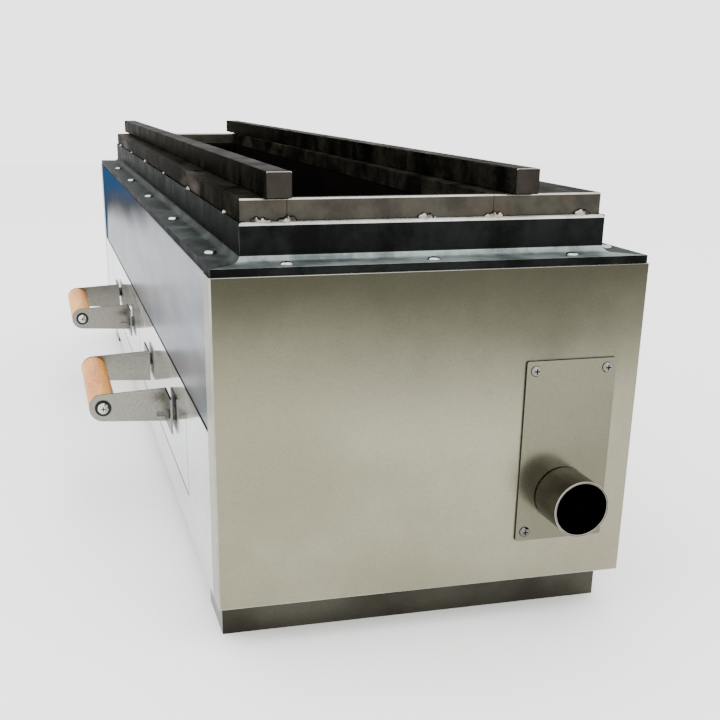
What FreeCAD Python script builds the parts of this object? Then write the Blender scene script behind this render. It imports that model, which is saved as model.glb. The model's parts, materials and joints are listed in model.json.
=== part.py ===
import FreeCAD, Part
import Sketcher
import math
import os
import re

# Long charcoal grill for skewers: a stainless case on two feet, a black steel top
# frame with two loose square bars, a brick-lined fire channel, two ash drawers with
# wooden grips and a blower pipe feeding a plenum behind the drawers.
# The length runs along X with the pipe at +X. The drawers open towards -Y. Z is up,
# and the origin is on the floor under the middle of the outer box.

SIZES = [
    ("body_length", 1450, "case, end face to end face"),
    ("body_width", 400, "case, drawer side to back"),
    ("body_height", 302, "case without feet and top frame"),
    ("sheet_gauge", 1.5, "stainless sheet of the case"),
    ("return_depth", 33, "how far the end panels wrap round the corners"),
    ("lip_width", 30, "inward lips of the long panels"),
    ("seam_height", 163.5, "lower edge of the front band above the case bottom"),
    ("drawer_sill", 42, "sill under the drawers above the case bottom"),
    ("stile_width", 190, "plain front at each end beside the drawers"),
    ("strap_width", 30, "joint straps behind the vertical seams"),
    ("seat_gap", 0.3, "gap left between pieces that only rest against each other"),
    ("slide_gap", 0.2, "gap under pieces that slide"),
    ("foot_height", 40, "feet below the case"),
    ("foot_width", 75, "feet along X"),
    ("foot_recess", 31, "feet behind the end faces"),
    ("foot_inset", 7.5, "feet inside the long faces"),
    ("foot_lip", 15, "inward rim that the feet stand on"),
    ("foot_gauge", 2, "sheet of the feet"),
    ("frame_inset", 1.5, "top frame inside the case edge"),
    ("flange_width", 37, "flat leg of the frame angles"),
    ("leg_height", 40, "upright leg of the frame angles"),
    ("angle_gauge", 7, "thickness of the frame angles"),
    ("root_radius", 7, "fillet in the root of the frame angles"),
    ("tier_rise", 19, "rails above the frame angles"),
    ("rail_inset", 2, "rails inside the outer faces of the frame legs"),
    ("rail_gauge", 4.5, "plate of the rails"),
    ("front_rail_width", 41, "front rail, outer face to fire opening"),
    ("fire_width", 188, "fire opening between the rails"),
    ("end_bar_gauge", 12, "bars that close the fire opening at its ends"),
    ("weld_leg", 4, "leg of the fillet welds on the frame angles"),
    ("weld_length", 18, "length of each fillet weld"),
    ("front_weld_count", 6, "welds along each long rail"),
    ("front_weld_start", 117, "first rail weld from the end face"),
    ("bar_size", 22, "square skewer bars"),
    ("bar_overhang", 46, "skewer bars beyond the far end face"),
    ("bar_setback", 28, "skewer bars behind the near end face"),
    ("bar_round", 1.2, "rounded edges of the skewer bars"),
    ("front_bar_offset", 16.5, "front bar behind the inner face of the front frame leg"),
    ("back_bar_offset", 16, "back bar behind the fire opening's back edge, at its near end"),
    ("back_bar_skew", 13, "how much nearer the fire the back bar lies at its far end"),
    ("screw_head_radius", 6, "frame screw heads"),
    ("plate_head_radius", 5.2, "heads of the cover plate screws"),
    ("screw_head_height", 2.6, "frame screw heads"),
    ("screw_radius", 2.5, "shanks of frame and plate screws"),
    ("screw_length", 14, "frame screws below the head"),
    ("hole_clearance", 0.3, "radial clearance of screw and bolt holes"),
    ("recess_width", 1.2, "arms of the cross recesses"),
    ("recess_span", 5.4, "span of the cross recesses"),
    ("recess_depth", 1.4, "depth of the cross recesses"),
    ("side_screw_count", 5, "frame screws on each long side"),
    ("side_screw_start", 92.7, "first drawer-side screw from the near end face"),
    ("back_screw_start", 54, "first back screw from the near end face"),
    ("side_screw_pitch", 274, "spacing along the long sides"),
    ("end_screw_pitch", 131, "spacing of the three screws on each end"),
    ("screw_edge", 16.5, "frame screws from the case edge"),
    ("brick_height", 114, "fire bricks on edge"),
    ("brick_thickness", 32, "fire bricks"),
    ("brick_count", 6, "fire bricks along each side"),
    ("liner_gauge", 3, "steel liner round the bricks"),
    ("ledge_reach", 12, "liner ledge beyond the brick faces"),
    ("grate_count", 4, "grate sections in the fire channel"),
    ("grate_height", 10, "cast grate sections"),
    ("slot_width", 10, "grate slots"),
    ("slot_pitch", 19, "grate slot spacing"),
    ("slot_length", 76, "grate slots across the channel"),
    ("grate_border", 12, "solid edge round the grate slots"),
    ("drawer_gap", 2, "gap round the drawer fronts"),
    ("front_depth", 15, "folded edge of the drawer fronts"),
    ("pan_inset", 3, "ash pan inside its drawer front at each side"),
    ("pan_height", 100, "ash pan walls"),
    ("pan_gauge", 1.5, "sheet of the ash pans"),
    ("pan_lift", 3, "ash pan bottom above the drawer front's lower edge"),
    ("drawer_travel", 240, "how far a drawer pulls out"),
    ("runner_width", 20, "flat leg of the drawer runners"),
    ("runner_gauge", 1.5, "sheet of the drawer runners"),
    ("bay_gauge", 2, "upright plates between and beside the drawers"),
    ("bay_flange", 20, "foot flange of the upright plates"),
    ("guide_gauge", 2, "sheet of the ash guides"),
    ("plenum_gap", 3, "plenum behind the fire liner"),
    ("plenum_back_gap", 24.5, "plenum in front of the back face, clear of the foot bolts"),
    ("plenum_height", 218, "plenum above the floor plate"),
    ("air_hole_radius", 6, "air holes in the plenum"),
    ("air_hole_pitch", 60, "spacing of the air holes"),
    ("air_hole_count", 17, "air holes"),
    ("air_hole_drop", 40, "air holes below the plenum top"),
    ("plate_width", 89, "cover plate of the air inlet"),
    ("plate_height", 175.5, "cover plate of the air inlet"),
    ("plate_gauge", 1.5, "cover plate of the air inlet"),
    ("plate_corner", 2, "corner radius of the cover plate"),
    ("plate_bottom", 42, "cover plate above the case bottom"),
    ("plate_edge", 24, "cover plate from the back face"),
    ("plate_screw_inset", 9, "plate screws from the plate's edges"),
    ("gasket_gauge", 1, "gasket under the cover plate"),
    ("gasket_inset", 1.5, "gasket inside the plate's outline"),
    ("access_width", 56, "opening behind the cover plate"),
    ("access_height", 144, "opening behind the cover plate"),
    ("pipe_radius", 27, "outside of the air pipe"),
    ("pipe_gauge", 2, "wall of the air pipe"),
    ("pipe_out", 46, "air pipe beyond the near end face"),
    ("pipe_height", 87, "air pipe's axis above the case bottom"),
    ("pipe_edge", 69, "air pipe's axis from the back face"),
    ("grip_stand", 76, "grip axis in front of the drawers"),
    ("grip_radius", 16, "turned wooden grips"),
    ("grip_height", 100, "grip axis above the case bottom"),
    ("strap_spacing", 195, "handle straps, centre to centre"),
    ("handle_shift", 10, "handles off the drawer centres, towards the pipe end"),
    ("strap_gauge", 2, "flat handle straps"),
    ("strap_end_radius", 16, "rounded outer end of the straps"),
    ("strap_root_height", 40, "height of the straps at the drawer"),
    ("strap_foot", 55, "foot of each strap along the drawer"),
    ("spacer_height", 2.5, "washers under the strap feet"),
    ("spacer_radius", 8, "washers under the strap feet"),
    ("stud_radius", 3, "studs of the handles"),
    ("stud_reach", 19, "studs in front of the drawer"),
    ("stud_head_radius", 6, "stud heads inside the ash pan"),
    ("stud_head_height", 4, "stud heads inside the ash pan"),
    ("stud_edge", 15, "studs from the end of the strap foot"),
    ("nut_radius", 5.8, "handle nuts across the corners, halved"),
    ("nut_height", 5, "handle nuts"),
    ("grip_screw_radius", 2.5, "shanks of the grip screws"),
    ("grip_screw_length", 25, "grip screws into the wood"),
    ("grip_head_radius", 6.8, "heads of the grip screws"),
    ("grip_head_height", 4, "heads of the grip screws"),
    ("grip_washer_radius", 9.5, "washers of the grip screws"),
    ("grip_washer_height", 1.2, "washers of the grip screws"),
    ("foot_bolt_radius", 4, "bolts that hold the feet"),
    ("foot_bolt_head", 6.2, "heads of the foot bolts"),
    ("foot_bolt_length", 12, "foot bolts below the floor plate"),
    ("foot_bolt_edge", 9.5, "foot bolts inside the feet's long faces"),
]

PLACES = [
    ("handle_reach", "grip_stand + strap_end_radius"),
    ("near_x", "(body_length + bar_overhang - pipe_out) / 2"),
    ("far_x", "near_x - body_length"),
    ("middle_x", "near_x - body_length / 2"),
    ("front_y", "(handle_reach - body_width) / 2"),
    ("back_y", "front_y + body_width"),
    ("middle_y", "front_y + body_width / 2"),
    ("case_bottom", "foot_height"),
    ("case_top", "case_bottom + body_height"),
    ("leg_top", "case_top + leg_height"),
    ("tier_top", "leg_top + tier_rise"),
    ("rail_bottom", "leg_top"),
    ("seam_z", "case_bottom + seam_height"),
    ("sill_z", "case_bottom + drawer_sill"),
    ("floor_top", "case_bottom + 2 * sheet_gauge"),
    ("frame_heel", "frame_inset + flange_width"),
    ("frame_near", "near_x - frame_heel"),
    ("frame_far", "far_x + frame_heel"),
    ("frame_front", "front_y + frame_heel"),
    ("frame_back", "back_y - frame_heel"),
    ("rail_front_face", "frame_front - angle_gauge + rail_inset"),
    ("rail_back_face", "frame_back + angle_gauge - rail_inset"),
    ("fire_front", "rail_front_face + front_rail_width"),
    ("fire_back", "fire_front + fire_width"),
    ("brick_front", "frame_front + liner_gauge + seat_gap"),
    ("brick_face", "brick_front + brick_thickness"),
    ("back_brick_face", "fire_back + fire_front - brick_face"),
    ("brick_back", "back_brick_face + brick_thickness"),
    ("liner_back", "brick_back + seat_gap + liner_gauge"),
    ("brick_near", "frame_near - liner_gauge - seat_gap"),
    ("brick_far", "frame_far + liner_gauge + seat_gap"),
    ("brick_top", "rail_bottom - seat_gap"),
    ("ledge_top", "brick_top - brick_height"),
    ("ledge_bottom", "ledge_top - liner_gauge"),
    ("opening_near", "near_x - stile_width"),
    ("opening_far", "far_x + stile_width"),
    ("front_width", "(opening_near - opening_far - 3 * drawer_gap) / 2"),
    ("front_bottom", "sill_z + drawer_gap"),
    ("front_top", "seam_z - drawer_gap"),
    ("pan_bottom", "front_bottom + pan_lift"),
    ("pan_top", "pan_bottom + pan_height"),
    ("plenum_front", "liner_back + plenum_gap"),
    ("plenum_back", "back_y - plenum_back_gap"),
    ("plenum_top", "floor_top + plenum_height"),
    ("bay_back", "plenum_front - seat_gap"),
    ("fold_back", "front_y + front_depth"),
    ("pan_front", "front_y + sheet_gauge"),
    ("pan_back", "bay_back - 4 * drawer_gap"),
    ("plate_back", "back_y - plate_edge"),
    ("plate_front", "plate_back - plate_width"),
    ("plate_low", "case_bottom + plate_bottom"),
    ("plate_high", "plate_low + plate_height"),
    ("plate_inner", "near_x + gasket_gauge"),
    ("plate_outer", "plate_inner + plate_gauge"),
    ("pipe_y", "back_y - pipe_edge"),
    ("pipe_z", "case_bottom + pipe_height"),
    ("access_y", "(plate_front + plate_back) / 2"),
    ("access_z", "(plate_low + plate_high) / 2"),
    ("grip_y", "front_y - grip_stand"),
    ("grip_z", "case_bottom + grip_height"),
    ("foot_face_y", "front_y - spacer_height - strap_gauge"),
    ("bar_near", "near_x - bar_setback"),
    ("bar_far", "far_x - bar_overhang"),
    ("bar_bottom", "tier_top + slide_gap"),
    ("front_bar_y", "frame_front + front_bar_offset"),
    ("back_bar_y", "fire_back + back_bar_offset"),
]

doc = FreeCAD.newDocument("grill")
sizes = doc.addObject("Spreadsheet::Sheet", "Sizes")
places = doc.addObject("Spreadsheet::Sheet", "Places")
SIZE_NAMES = {alias for alias, number, meaning in SIZES}
PLACE_NAMES = {alias for alias, formula in PLACES}
WORD = re.compile(r"[a-z]+(?:_[a-z]+)+")


def bound(text):
    """Name the sheet in front of every size or place in a formula."""
    def with_sheet(match):
        word = match.group(0)
        if word in SIZE_NAMES:
            return "Sizes." + word
        if word in PLACE_NAMES:
            return "Places." + word
        return word
    return WORD.sub(with_sheet, str(text))


for row, (alias, number, meaning) in enumerate(SIZES, start=1):
    sizes.set(f"A{row}", meaning)
    sizes.set(f"B{row}", str(number))
    sizes.setAlias(f"B{row}", alias)
for row, (alias, formula) in enumerate(PLACES, start=1):
    places.set(f"A{row}", alias.replace("_", " "))
    places.setAlias(f"B{row}", alias)
for row, (alias, formula) in enumerate(PLACES, start=1):
    places.set(f"B{row}", "=" + bound(formula).replace("Places.", ""))
doc.recompute()

PARTS = []


def keep(piece, label):
    """Give a finished sub-part its own name and list it for writing."""
    piece.Label = label
    PARTS.append(piece)
    return piece


# Blocks, rods and joined shapes

def block(name, x, y, z):
    """A block between two planes on each axis, each a pair of formulas."""
    solid = doc.addObject("Part::Box", name)
    for size, axis, (low, high) in (("Length", "x", x), ("Width", "y", y), ("Height", "z", z)):
        solid.setExpression(size, bound(f"({high}) - ({low})"))
        solid.setExpression("Placement.Base." + axis, bound(low))
    return solid


TURNS = {
    "x": FreeCAD.Rotation(FreeCAD.Vector(0, 1, 0), 90),
    "y": FreeCAD.Rotation(FreeCAD.Vector(1, 0, 0), -90),
    "z": FreeCAD.Rotation(),
}


def stand(solid, axis, low, across):
    """Lay a round or six-sided solid along an axis, starting at low."""
    solid.Placement = FreeCAD.Placement(FreeCAD.Vector(), TURNS[axis])
    starts = dict(zip([name for name in "xyz" if name != axis], across))
    starts[axis] = low
    for name, formula in starts.items():
        solid.setExpression("Placement.Base." + name, bound(formula))
    return solid


def rod(name, axis, radius, low, high, across):
    """A round bar along an axis from low to high."""
    solid = doc.addObject("Part::Cylinder", name)
    solid.setExpression("Radius", bound(radius))
    solid.setExpression("Height", bound(f"({high}) - ({low})"))
    return stand(solid, axis, low, across)


def six_sided(name, axis, radius, low, high, across):
    """A hexagonal bar along an axis from low to high."""
    solid = doc.addObject("Part::Prism", name)
    solid.Polygon = 6
    solid.setExpression("Circumradius", bound(radius))
    solid.setExpression("Height", bound(f"({high}) - ({low})"))
    return stand(solid, axis, low, across)


def join(name, pieces):
    """Pieces fused into one solid."""
    solid = doc.addObject("Part::MultiFuse", name)
    solid.Shapes = pieces
    solid.Refine = True
    return solid


def cut(name, base, tools):
    """A solid less its openings."""
    solid = doc.addObject("Part::Cut", name)
    solid.Base = base
    solid.Tool = tools[0] if len(tools) == 1 else join(name + "_openings", tools)
    return solid


def group(name, pieces):
    """Separate solids that are bought and fitted as a set."""
    together = doc.addObject("Part::Compound", name)
    together.Links = pieces
    return together


# Bodies made from sketches

def new_body(name):
    return doc.addObject("PartDesign::Body", name)


def corners(u_low, u_high, v_low, v_high):
    """The four corners of a rectangle in a sketch."""
    return [(u_low, v_low), (u_high, v_low), (u_high, v_high), (u_low, v_high)]


def sketch(body, name, plane, height, outline):
    """A closed outline of straight lines on a plane of the body."""
    drawing = body.newObject("Sketcher::SketchObject", name)
    origin = [part for part in body.Origin.OriginFeatures if part.Role == plane + "_Plane"][0]
    drawing.AttachmentSupport = [(origin, "")]
    drawing.MapMode = "FlatFace"
    offset = f"-({height})" if plane == "XZ" else height
    drawing.setExpression("AttachmentOffset.Base.z", bound(offset))
    count = len(outline)
    start = [
        FreeCAD.Vector(50 * math.cos(2 * math.pi * i / count), 50 * math.sin(2 * math.pi * i / count))
        for i in range(count)
    ]
    for i in range(count):
        drawing.addGeometry(Part.LineSegment(start[i], start[(i + 1) % count]), False)
    for i in range(count):
        drawing.addConstraint(Sketcher.Constraint("Coincident", i, 2, (i + 1) % count, 1))
    for i, (u, v) in enumerate(outline):
        for kind, value, formula in (("DistanceX", start[i].x, u), ("DistanceY", start[i].y, v)):
            number = drawing.addConstraint(Sketcher.Constraint(kind, -1, 1, i, 1, value))
            drawing.setExpression(f"Constraints[{number}]", bound(formula))
    return drawing


def pad(body, name, plane, low, high, outline):
    """Material between two planes; low is where the outline lies."""
    base = high if plane == "XZ" else low
    feature = body.newObject("PartDesign::Pad", name)
    feature.Profile = sketch(body, name + "_outline", plane, base, outline)
    feature.setExpression("Length", bound(f"({high}) - ({low})"))
    return feature


def pocket(body, name, plane, low, high, outline):
    """An opening between two planes."""
    base = high if plane == "XZ" else low
    feature = body.newObject("PartDesign::Pocket", name)
    feature.Profile = sketch(body, name + "_outline", plane, base, outline)
    feature.setExpression("Length", bound(f"({high}) - ({low})"))
    feature.Reversed = True
    return feature


def round_edges(body, name, radius, wanted):
    """Fillet the edges of the last feature that a test picks out."""
    doc.recompute()
    base = body.Tip
    picked = [f"Edge{i}" for i, edge in enumerate(base.Shape.Edges, start=1) if wanted(edge)]
    feature = body.newObject("PartDesign::Fillet", name)
    feature.Base = (base, picked)
    feature.setExpression("Radius", bound(radius))
    return feature


def runs_along(edge, axis):
    """True for a straight edge parallel to an axis."""
    if not isinstance(edge.Curve, Part.Line):
        return False
    return abs(getattr(edge.Curve.Direction, axis)) > 0.999


def at(number, value):
    return abs(number - value) < 0.01


# Case

def end_panel(label, sign):
    """A tray of sheet that closes one end and wraps round all four edges."""
    face = "near_x" if sign > 0 else "far_x"
    inner = f"{face} - {sign} * sheet_gauge"
    rim = f"{face} - {sign} * return_depth"
    low, high = (rim, face) if sign > 0 else (face, rim)
    body = new_body(label)
    pad(body, label + "_shell", "YZ", low, high, corners("front_y", "back_y", "case_bottom", "case_top"))
    low, high = (rim, inner) if sign > 0 else (inner, rim)
    hollow = corners(
        "front_y + sheet_gauge", "back_y - sheet_gauge",
        "case_bottom + sheet_gauge", "case_top - sheet_gauge",
    )
    pocket(body, label + "_hollow", "YZ", low, high, hollow)
    return body


def screw_place(side, index):
    """Where one screw of the top frame stands, as a pair of formulas."""
    if side in ("front", "back"):
        start = "side_screw_start" if side == "front" else "back_screw_start"
        x = f"near_x - {start} - {index} * side_screw_pitch"
        y = "front_y + screw_edge" if side == "front" else "back_y - screw_edge"
    else:
        x = "near_x - screw_edge" if side == "near" else "far_x + screw_edge"
        y = f"middle_y + {index - 1} * end_screw_pitch"
    return x, y


SIDE_SCREWS = range(int(sizes.side_screw_count))
END_SCREWS = range(3)
FOOT_BOLTS = [
    (f"near_x - foot_recess - foot_width / 2", 1),
    (f"far_x + foot_recess + foot_width / 2", -1),
]
BOLT_IN = "foot_inset + foot_bolt_edge"


def frame_holes(name, side, low, high):
    """Clearance holes for the frame screws of one side."""
    indexes = SIDE_SCREWS if side in ("front", "back") else END_SCREWS
    return [
        rod(f"{name}_hole_{i}", "z", "screw_radius + hole_clearance", low, high, screw_place(side, i))
        for i in indexes
    ]


def foot_holes(name, radius, low, high, edges, ends=(0, 1)):
    """Holes or shanks of the foot bolts, for the chosen long edges and ends."""
    rows = {"front": f"front_y + {BOLT_IN}", "back": f"back_y - ({BOLT_IN})"}
    return [
        rod(f"{name}_{edge}_{end}", "z", radius, low, high, (FOOT_BOLTS[end][0], rows[edge]))
        for edge in edges
        for end in ends
    ]


def plate_screw_places():
    """The four screws of the cover plate, as pairs of formulas."""
    ys = ("plate_front + plate_screw_inset", "plate_back - plate_screw_inset")
    zs = ("plate_low + plate_screw_inset", "plate_high - plate_screw_inset")
    return [(y, z) for y in ys for z in zs]


def plate_holes(name, low, high):
    return [
        rod(f"{name}_{i}", "x", "screw_radius + hole_clearance", low, high, place)
        for i, place in enumerate(plate_screw_places())
    ]


ACCESS = corners(
    "access_y - access_width / 2", "access_y + access_width / 2",
    "access_z - access_height / 2", "access_z + access_height / 2",
)


def make_end_panels():
    near = end_panel("near_shell", 1)
    pocket(near, "access_opening", "YZ", "near_x - 2 * sheet_gauge", "near_x", ACCESS)
    holes = plate_holes("near_plate_hole", "near_x - 2 * sheet_gauge", "near_x + sheet_gauge")
    holes += frame_holes("near_lip", "near", "case_top - 2 * sheet_gauge", "case_top + sheet_gauge")
    keep(cut("near_panel_cut", near, holes), "end_panel_near")
    far = end_panel("far_shell", -1)
    holes = frame_holes("far_lip", "far", "case_top - 2 * sheet_gauge", "case_top + sheet_gauge")
    keep(cut("far_panel_cut", far, holes), "end_panel_far")


LONG_LOW = "far_x + return_depth"
LONG_HIGH = "near_x - return_depth"


def long_panel(name, face, sign, bottom, top, lips):
    """An upright sheet with inward lips; sign is where the inside lies."""
    def span(reach):
        inside = f"{face} + {sign} * ({reach})"
        return (face, inside) if sign > 0 else (inside, face)
    pieces = [block(name + "_sheet", (LONG_LOW, LONG_HIGH), span("sheet_gauge"), (bottom, top))]
    if "bottom" in lips:
        z = (bottom, f"{bottom} + sheet_gauge")
        pieces.append(block(name + "_lower_lip", (LONG_LOW, LONG_HIGH), span("lip_width"), z))
    if "top" in lips:
        z = (f"{top} - sheet_gauge", top)
        pieces.append(block(name + "_upper_lip", (LONG_LOW, LONG_HIGH), span("lip_width"), z))
    return join(name + "_folded", pieces)


def make_long_panels():
    lip = ("case_top - 2 * sheet_gauge", "case_top + sheet_gauge")
    floor = ("case_bottom - sheet_gauge", "case_bottom + 2 * sheet_gauge")
    bolt = "foot_bolt_radius + hole_clearance"

    band = long_panel("band", "front_y", 1, "seam_z", "case_top", ("bottom", "top"))
    keep(cut("band_cut", band, frame_holes("band_lip", "front", *lip)), "front_band")

    lower = long_panel("lower", "front_y", 1, "case_bottom", "front_top", ("bottom",))
    opening = block(
        "drawer_opening", ("opening_far", "opening_near"),
        ("front_y - sheet_gauge", "front_y + 2 * sheet_gauge"), ("sill_z", "seam_z + sheet_gauge"),
    )
    holes = foot_holes("lower_bolt_hole", bolt, *floor, ("front",))
    keep(cut("lower_cut", lower, [opening] + holes), "front_lower_panel")

    back = long_panel("back", "back_y", -1, "case_bottom", "case_top", ("bottom", "top"))
    holes = frame_holes("back_lip", "back", *lip) + foot_holes("back_bolt_hole", bolt, *floor, ("back",))
    keep(cut("back_cut", back, holes), "back_panel")


def make_joint_straps():
    """Straps spot-welded behind the vertical seams of the case."""
    straps = []
    for end, seam in (("near", LONG_HIGH), ("far", LONG_LOW)):
        x = (f"{seam} - strap_width / 2", f"{seam} + strap_width / 2")
        front = ("front_y + sheet_gauge", "front_y + 2 * sheet_gauge")
        back = ("back_y - 2 * sheet_gauge", "back_y - sheet_gauge")
        low = "floor_top + seat_gap"
        high = "case_top - sheet_gauge - seat_gap"
        straps.append(block(f"strap_low_{end}", x, front, (low, "front_top")))
        straps.append(block(f"strap_high_{end}", x, front, ("seam_z + sheet_gauge + seat_gap", high)))
        straps.append(block(f"strap_back_{end}", x, back, (low, high)))
    keep(group("straps", straps), "joint_straps")


def make_floor():
    inset = "sheet_gauge + seat_gap"
    plate = block(
        "floor_sheet", (f"far_x + {inset}", f"near_x - ({inset})"),
        (f"front_y + {inset}", f"back_y - ({inset})"), ("case_bottom + sheet_gauge", "floor_top"),
    )
    radius = "foot_bolt_radius + hole_clearance"
    holes = foot_holes("floor_hole", radius, "case_bottom", "floor_top + sheet_gauge", ("front", "back"))
    keep(cut("floor_cut", plate, holes), "floor_plate")


def make_foot(label, end):
    """A folded channel with closed ends and an inward rim to stand on."""
    middle = FOOT_BOLTS[end][0]
    low, high = f"{middle} - foot_width / 2", f"{middle} + foot_width / 2"
    front, back = "front_y + foot_inset", "back_y - foot_inset"
    body = new_body(label + "_body")
    pad(body, label + "_block", "XY", "0", "foot_height", corners(low, high, front, back))
    inner = corners(
        f"{low} + foot_gauge", f"{high} - foot_gauge", f"{front} + foot_gauge", f"{back} - foot_gauge"
    )
    pocket(body, label + "_hollow", "XY", "foot_gauge", "foot_height - foot_gauge", inner)
    mouth = corners(f"{low} + foot_lip", f"{high} - foot_lip", f"{front} + foot_lip", f"{back} - foot_lip")
    pocket(body, label + "_mouth", "XY", "0", "foot_gauge", mouth)
    radius = "foot_bolt_radius + hole_clearance"
    span = ("foot_height - 2 * foot_gauge", "foot_height + foot_gauge")
    holes = foot_holes(label + "_hole", radius, *span, ("front", "back"), (end,))
    keep(cut(label + "_cut", body, holes), label)


def make_foot_bolts():
    """Bolts dropped through the floor plate and the lips into the feet."""
    bolts = []
    shanks = foot_holes("foot_shank", "foot_bolt_radius", "floor_top - foot_bolt_length", "floor_top",
                        ("front", "back"))
    heads = foot_holes("foot_head", "foot_bolt_head", "floor_top", "floor_top + foot_bolt_radius",
                       ("front", "back"))
    for i, (shank, head) in enumerate(zip(shanks, heads)):
        bolts.append(join(f"foot_bolt_{i}", [shank, head]))
    keep(group("foot_bolt_set", bolts), "foot_bolts")


# Top frame

def ring_corner(x_side, y_side, inset):
    """A corner of the rectangle that lies inset from the case edges."""
    x = f"near_x - ({inset})" if x_side > 0 else f"far_x + ({inset})"
    y = f"back_y - ({inset})" if y_side > 0 else f"front_y + ({inset})"
    return x, y


def mitred(side, outer, inner):
    """The plan of one frame member between two insets, mitred at both ends."""
    ends = {"front": ((-1, -1), (1, -1)), "back": ((1, 1), (-1, 1)),
            "near": ((1, -1), (1, 1)), "far": ((-1, 1), (-1, -1))}[side]
    first, second = ends
    return [ring_corner(*first, outer), ring_corner(*second, outer),
            ring_corner(*second, inner), ring_corner(*first, inner)]


def make_frame_angle(side):
    """One mitred steel angle: flange on the case, leg upright at its inner edge."""
    name = f"frame_angle_{side}"
    along = "x" if side in ("front", "back") else "y"
    body = new_body(name + "_body")
    pad(body, name + "_flange", "XY", "case_top", "case_top + angle_gauge",
        mitred(side, "frame_inset", "frame_heel"))
    pad(body, name + "_leg", "XY", "case_top", "leg_top", mitred(side, "frame_heel - angle_gauge", "frame_heel"))
    root_z = places.case_top + sizes.angle_gauge
    root = {
        "front": places.front_y + places.frame_heel - sizes.angle_gauge,
        "back": places.back_y - places.frame_heel + sizes.angle_gauge,
        "near": places.near_x - places.frame_heel + sizes.angle_gauge,
        "far": places.far_x + places.frame_heel - sizes.angle_gauge,
    }[side]

    def is_root(edge):
        middle = edge.CenterOfMass
        across = middle.y if along == "x" else middle.x
        return runs_along(edge, along) and at(middle.z, root_z) and at(across, root)

    round_edges(body, name + "_root", "root_radius", is_root)
    holes = frame_holes(name, side, "case_top - angle_gauge", "case_top + 2 * angle_gauge")
    keep(cut(name + "_cut", body, holes), name)


def cross(name, x, y, top):
    """The cross recess of an upright screw, as two slots."""
    arm = "recess_width / 2"
    reach = "recess_span / 2"
    z = (f"{top} - recess_depth", f"{top} + recess_depth")
    return [
        block(name + "_a", (f"{x} - {arm}", f"{x} + {arm}"), (f"{y} - {reach}", f"{y} + {reach}"), z),
        block(name + "_b", (f"{x} - {reach}", f"{x} + {reach}"), (f"{y} - {arm}", f"{y} + {arm}"), z),
    ]


def make_frame_screws():
    screws = []
    seat = "case_top + angle_gauge"
    top = f"{seat} + screw_head_height"
    spots = [(side, i) for side in ("front", "back") for i in SIDE_SCREWS]
    spots += [(side, i) for side in ("near", "far") for i in END_SCREWS]
    for side, i in spots:
        name = f"frame_screw_{side}_{i}"
        x, y = screw_place(side, i)
        shank = rod(name + "_shank", "z", "screw_radius", f"{seat} - screw_length", seat, (x, y))
        head = rod(name + "_head", "z", "screw_head_radius", seat, top, (x, y))
        whole = join(name + "_whole", [shank, head])
        screws.append(cut(name, whole, cross(name + "_recess", x, y, top)))
    keep(group("frame_screw_set", screws), "frame_screws")


def make_rail(label, front, back):
    """A folded plate channel, open underneath, with its ends welded shut."""
    body = new_body(label + "_body")
    pad(body, label + "_block", "XY", "rail_bottom", "tier_top",
        corners("frame_far", "frame_near", front, back))
    inner = corners("frame_far + rail_gauge", "frame_near - rail_gauge",
                    f"{front} + rail_gauge", f"{back} - rail_gauge")
    pocket(body, label + "_hollow", "XY", "rail_bottom", "tier_top - rail_gauge", inner)
    keep(body, label)


def make_end_bar(label, low, high):
    keep(block(label + "_block", (low, high), ("fire_front", "fire_back"), ("rail_bottom", "tier_top")),
         label)


def fillet_weld(name, axis, leg, low, across, quarter):
    """A quarter-round bead in the corner above a frame angle's leg."""
    bead = doc.addObject("Part::Cylinder", name)
    bead.setExpression("Radius", bound(leg))
    bead.setExpression("Height", bound("weld_length"))
    bead.Angle = 90
    lay = {"x": FreeCAD.Vector(1, 0, 0), "y": FreeCAD.Vector(0, 1, 0)}[axis]
    bead.Placement = FreeCAD.Placement(
        FreeCAD.Vector(), FreeCAD.Rotation(lay, quarter).multiply(TURNS[axis])
    )
    for corner, formula in zip("xyz", (low, across) if axis == "x" else (across, low)):
        bead.setExpression("Placement.Base." + corner, bound(formula))
    bead.setExpression("Placement.Base.z", bound("leg_top"))
    return bead


def make_welds():
    """Short welds that hold the rails and end bars on the frame angles."""
    span = f"(body_length - 2 * front_weld_start) / ({sizes.front_weld_count} - 1)"
    welds = []
    for i in range(int(sizes.front_weld_count)):
        low = f"near_x - front_weld_start - {i} * {span} - weld_length / 2"
        welds.append(fillet_weld(f"weld_front_{i}", "x", "rail_inset", low, "rail_front_face", 180))
        welds.append(fillet_weld(f"weld_back_{i}", "x", "rail_inset", low, "rail_back_face", 90))
    spots = ("rail_front_face + weld_length", "fire_front", "middle_y", "fire_back",
             "rail_back_face - weld_length")
    for i, spot in enumerate(spots):
        low = f"{spot} - weld_length / 2"
        welds.append(fillet_weld(f"weld_near_{i}", "y", "weld_leg", low, "frame_near", -90))
        welds.append(fillet_weld(f"weld_far_{i}", "y", "weld_leg", low, "frame_far", 180))
    keep(group("weld_set", welds), "frame_welds")


def make_skewer_bar(label, near_front, far_front):
    """A loose square bar, given by its front face at the near and the far end."""
    body = new_body(label + "_body")
    pad(body, label + "_bar", "XY", "bar_bottom", "bar_bottom + bar_size", [
        ("bar_far", far_front), ("bar_near", near_front),
        ("bar_near", f"{near_front} + bar_size"), ("bar_far", f"{far_front} + bar_size")])
    round_edges(body, label + "_edges", "bar_round", lambda edge: runs_along(edge, "x"))
    keep(body, label)


# Fire channel

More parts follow.
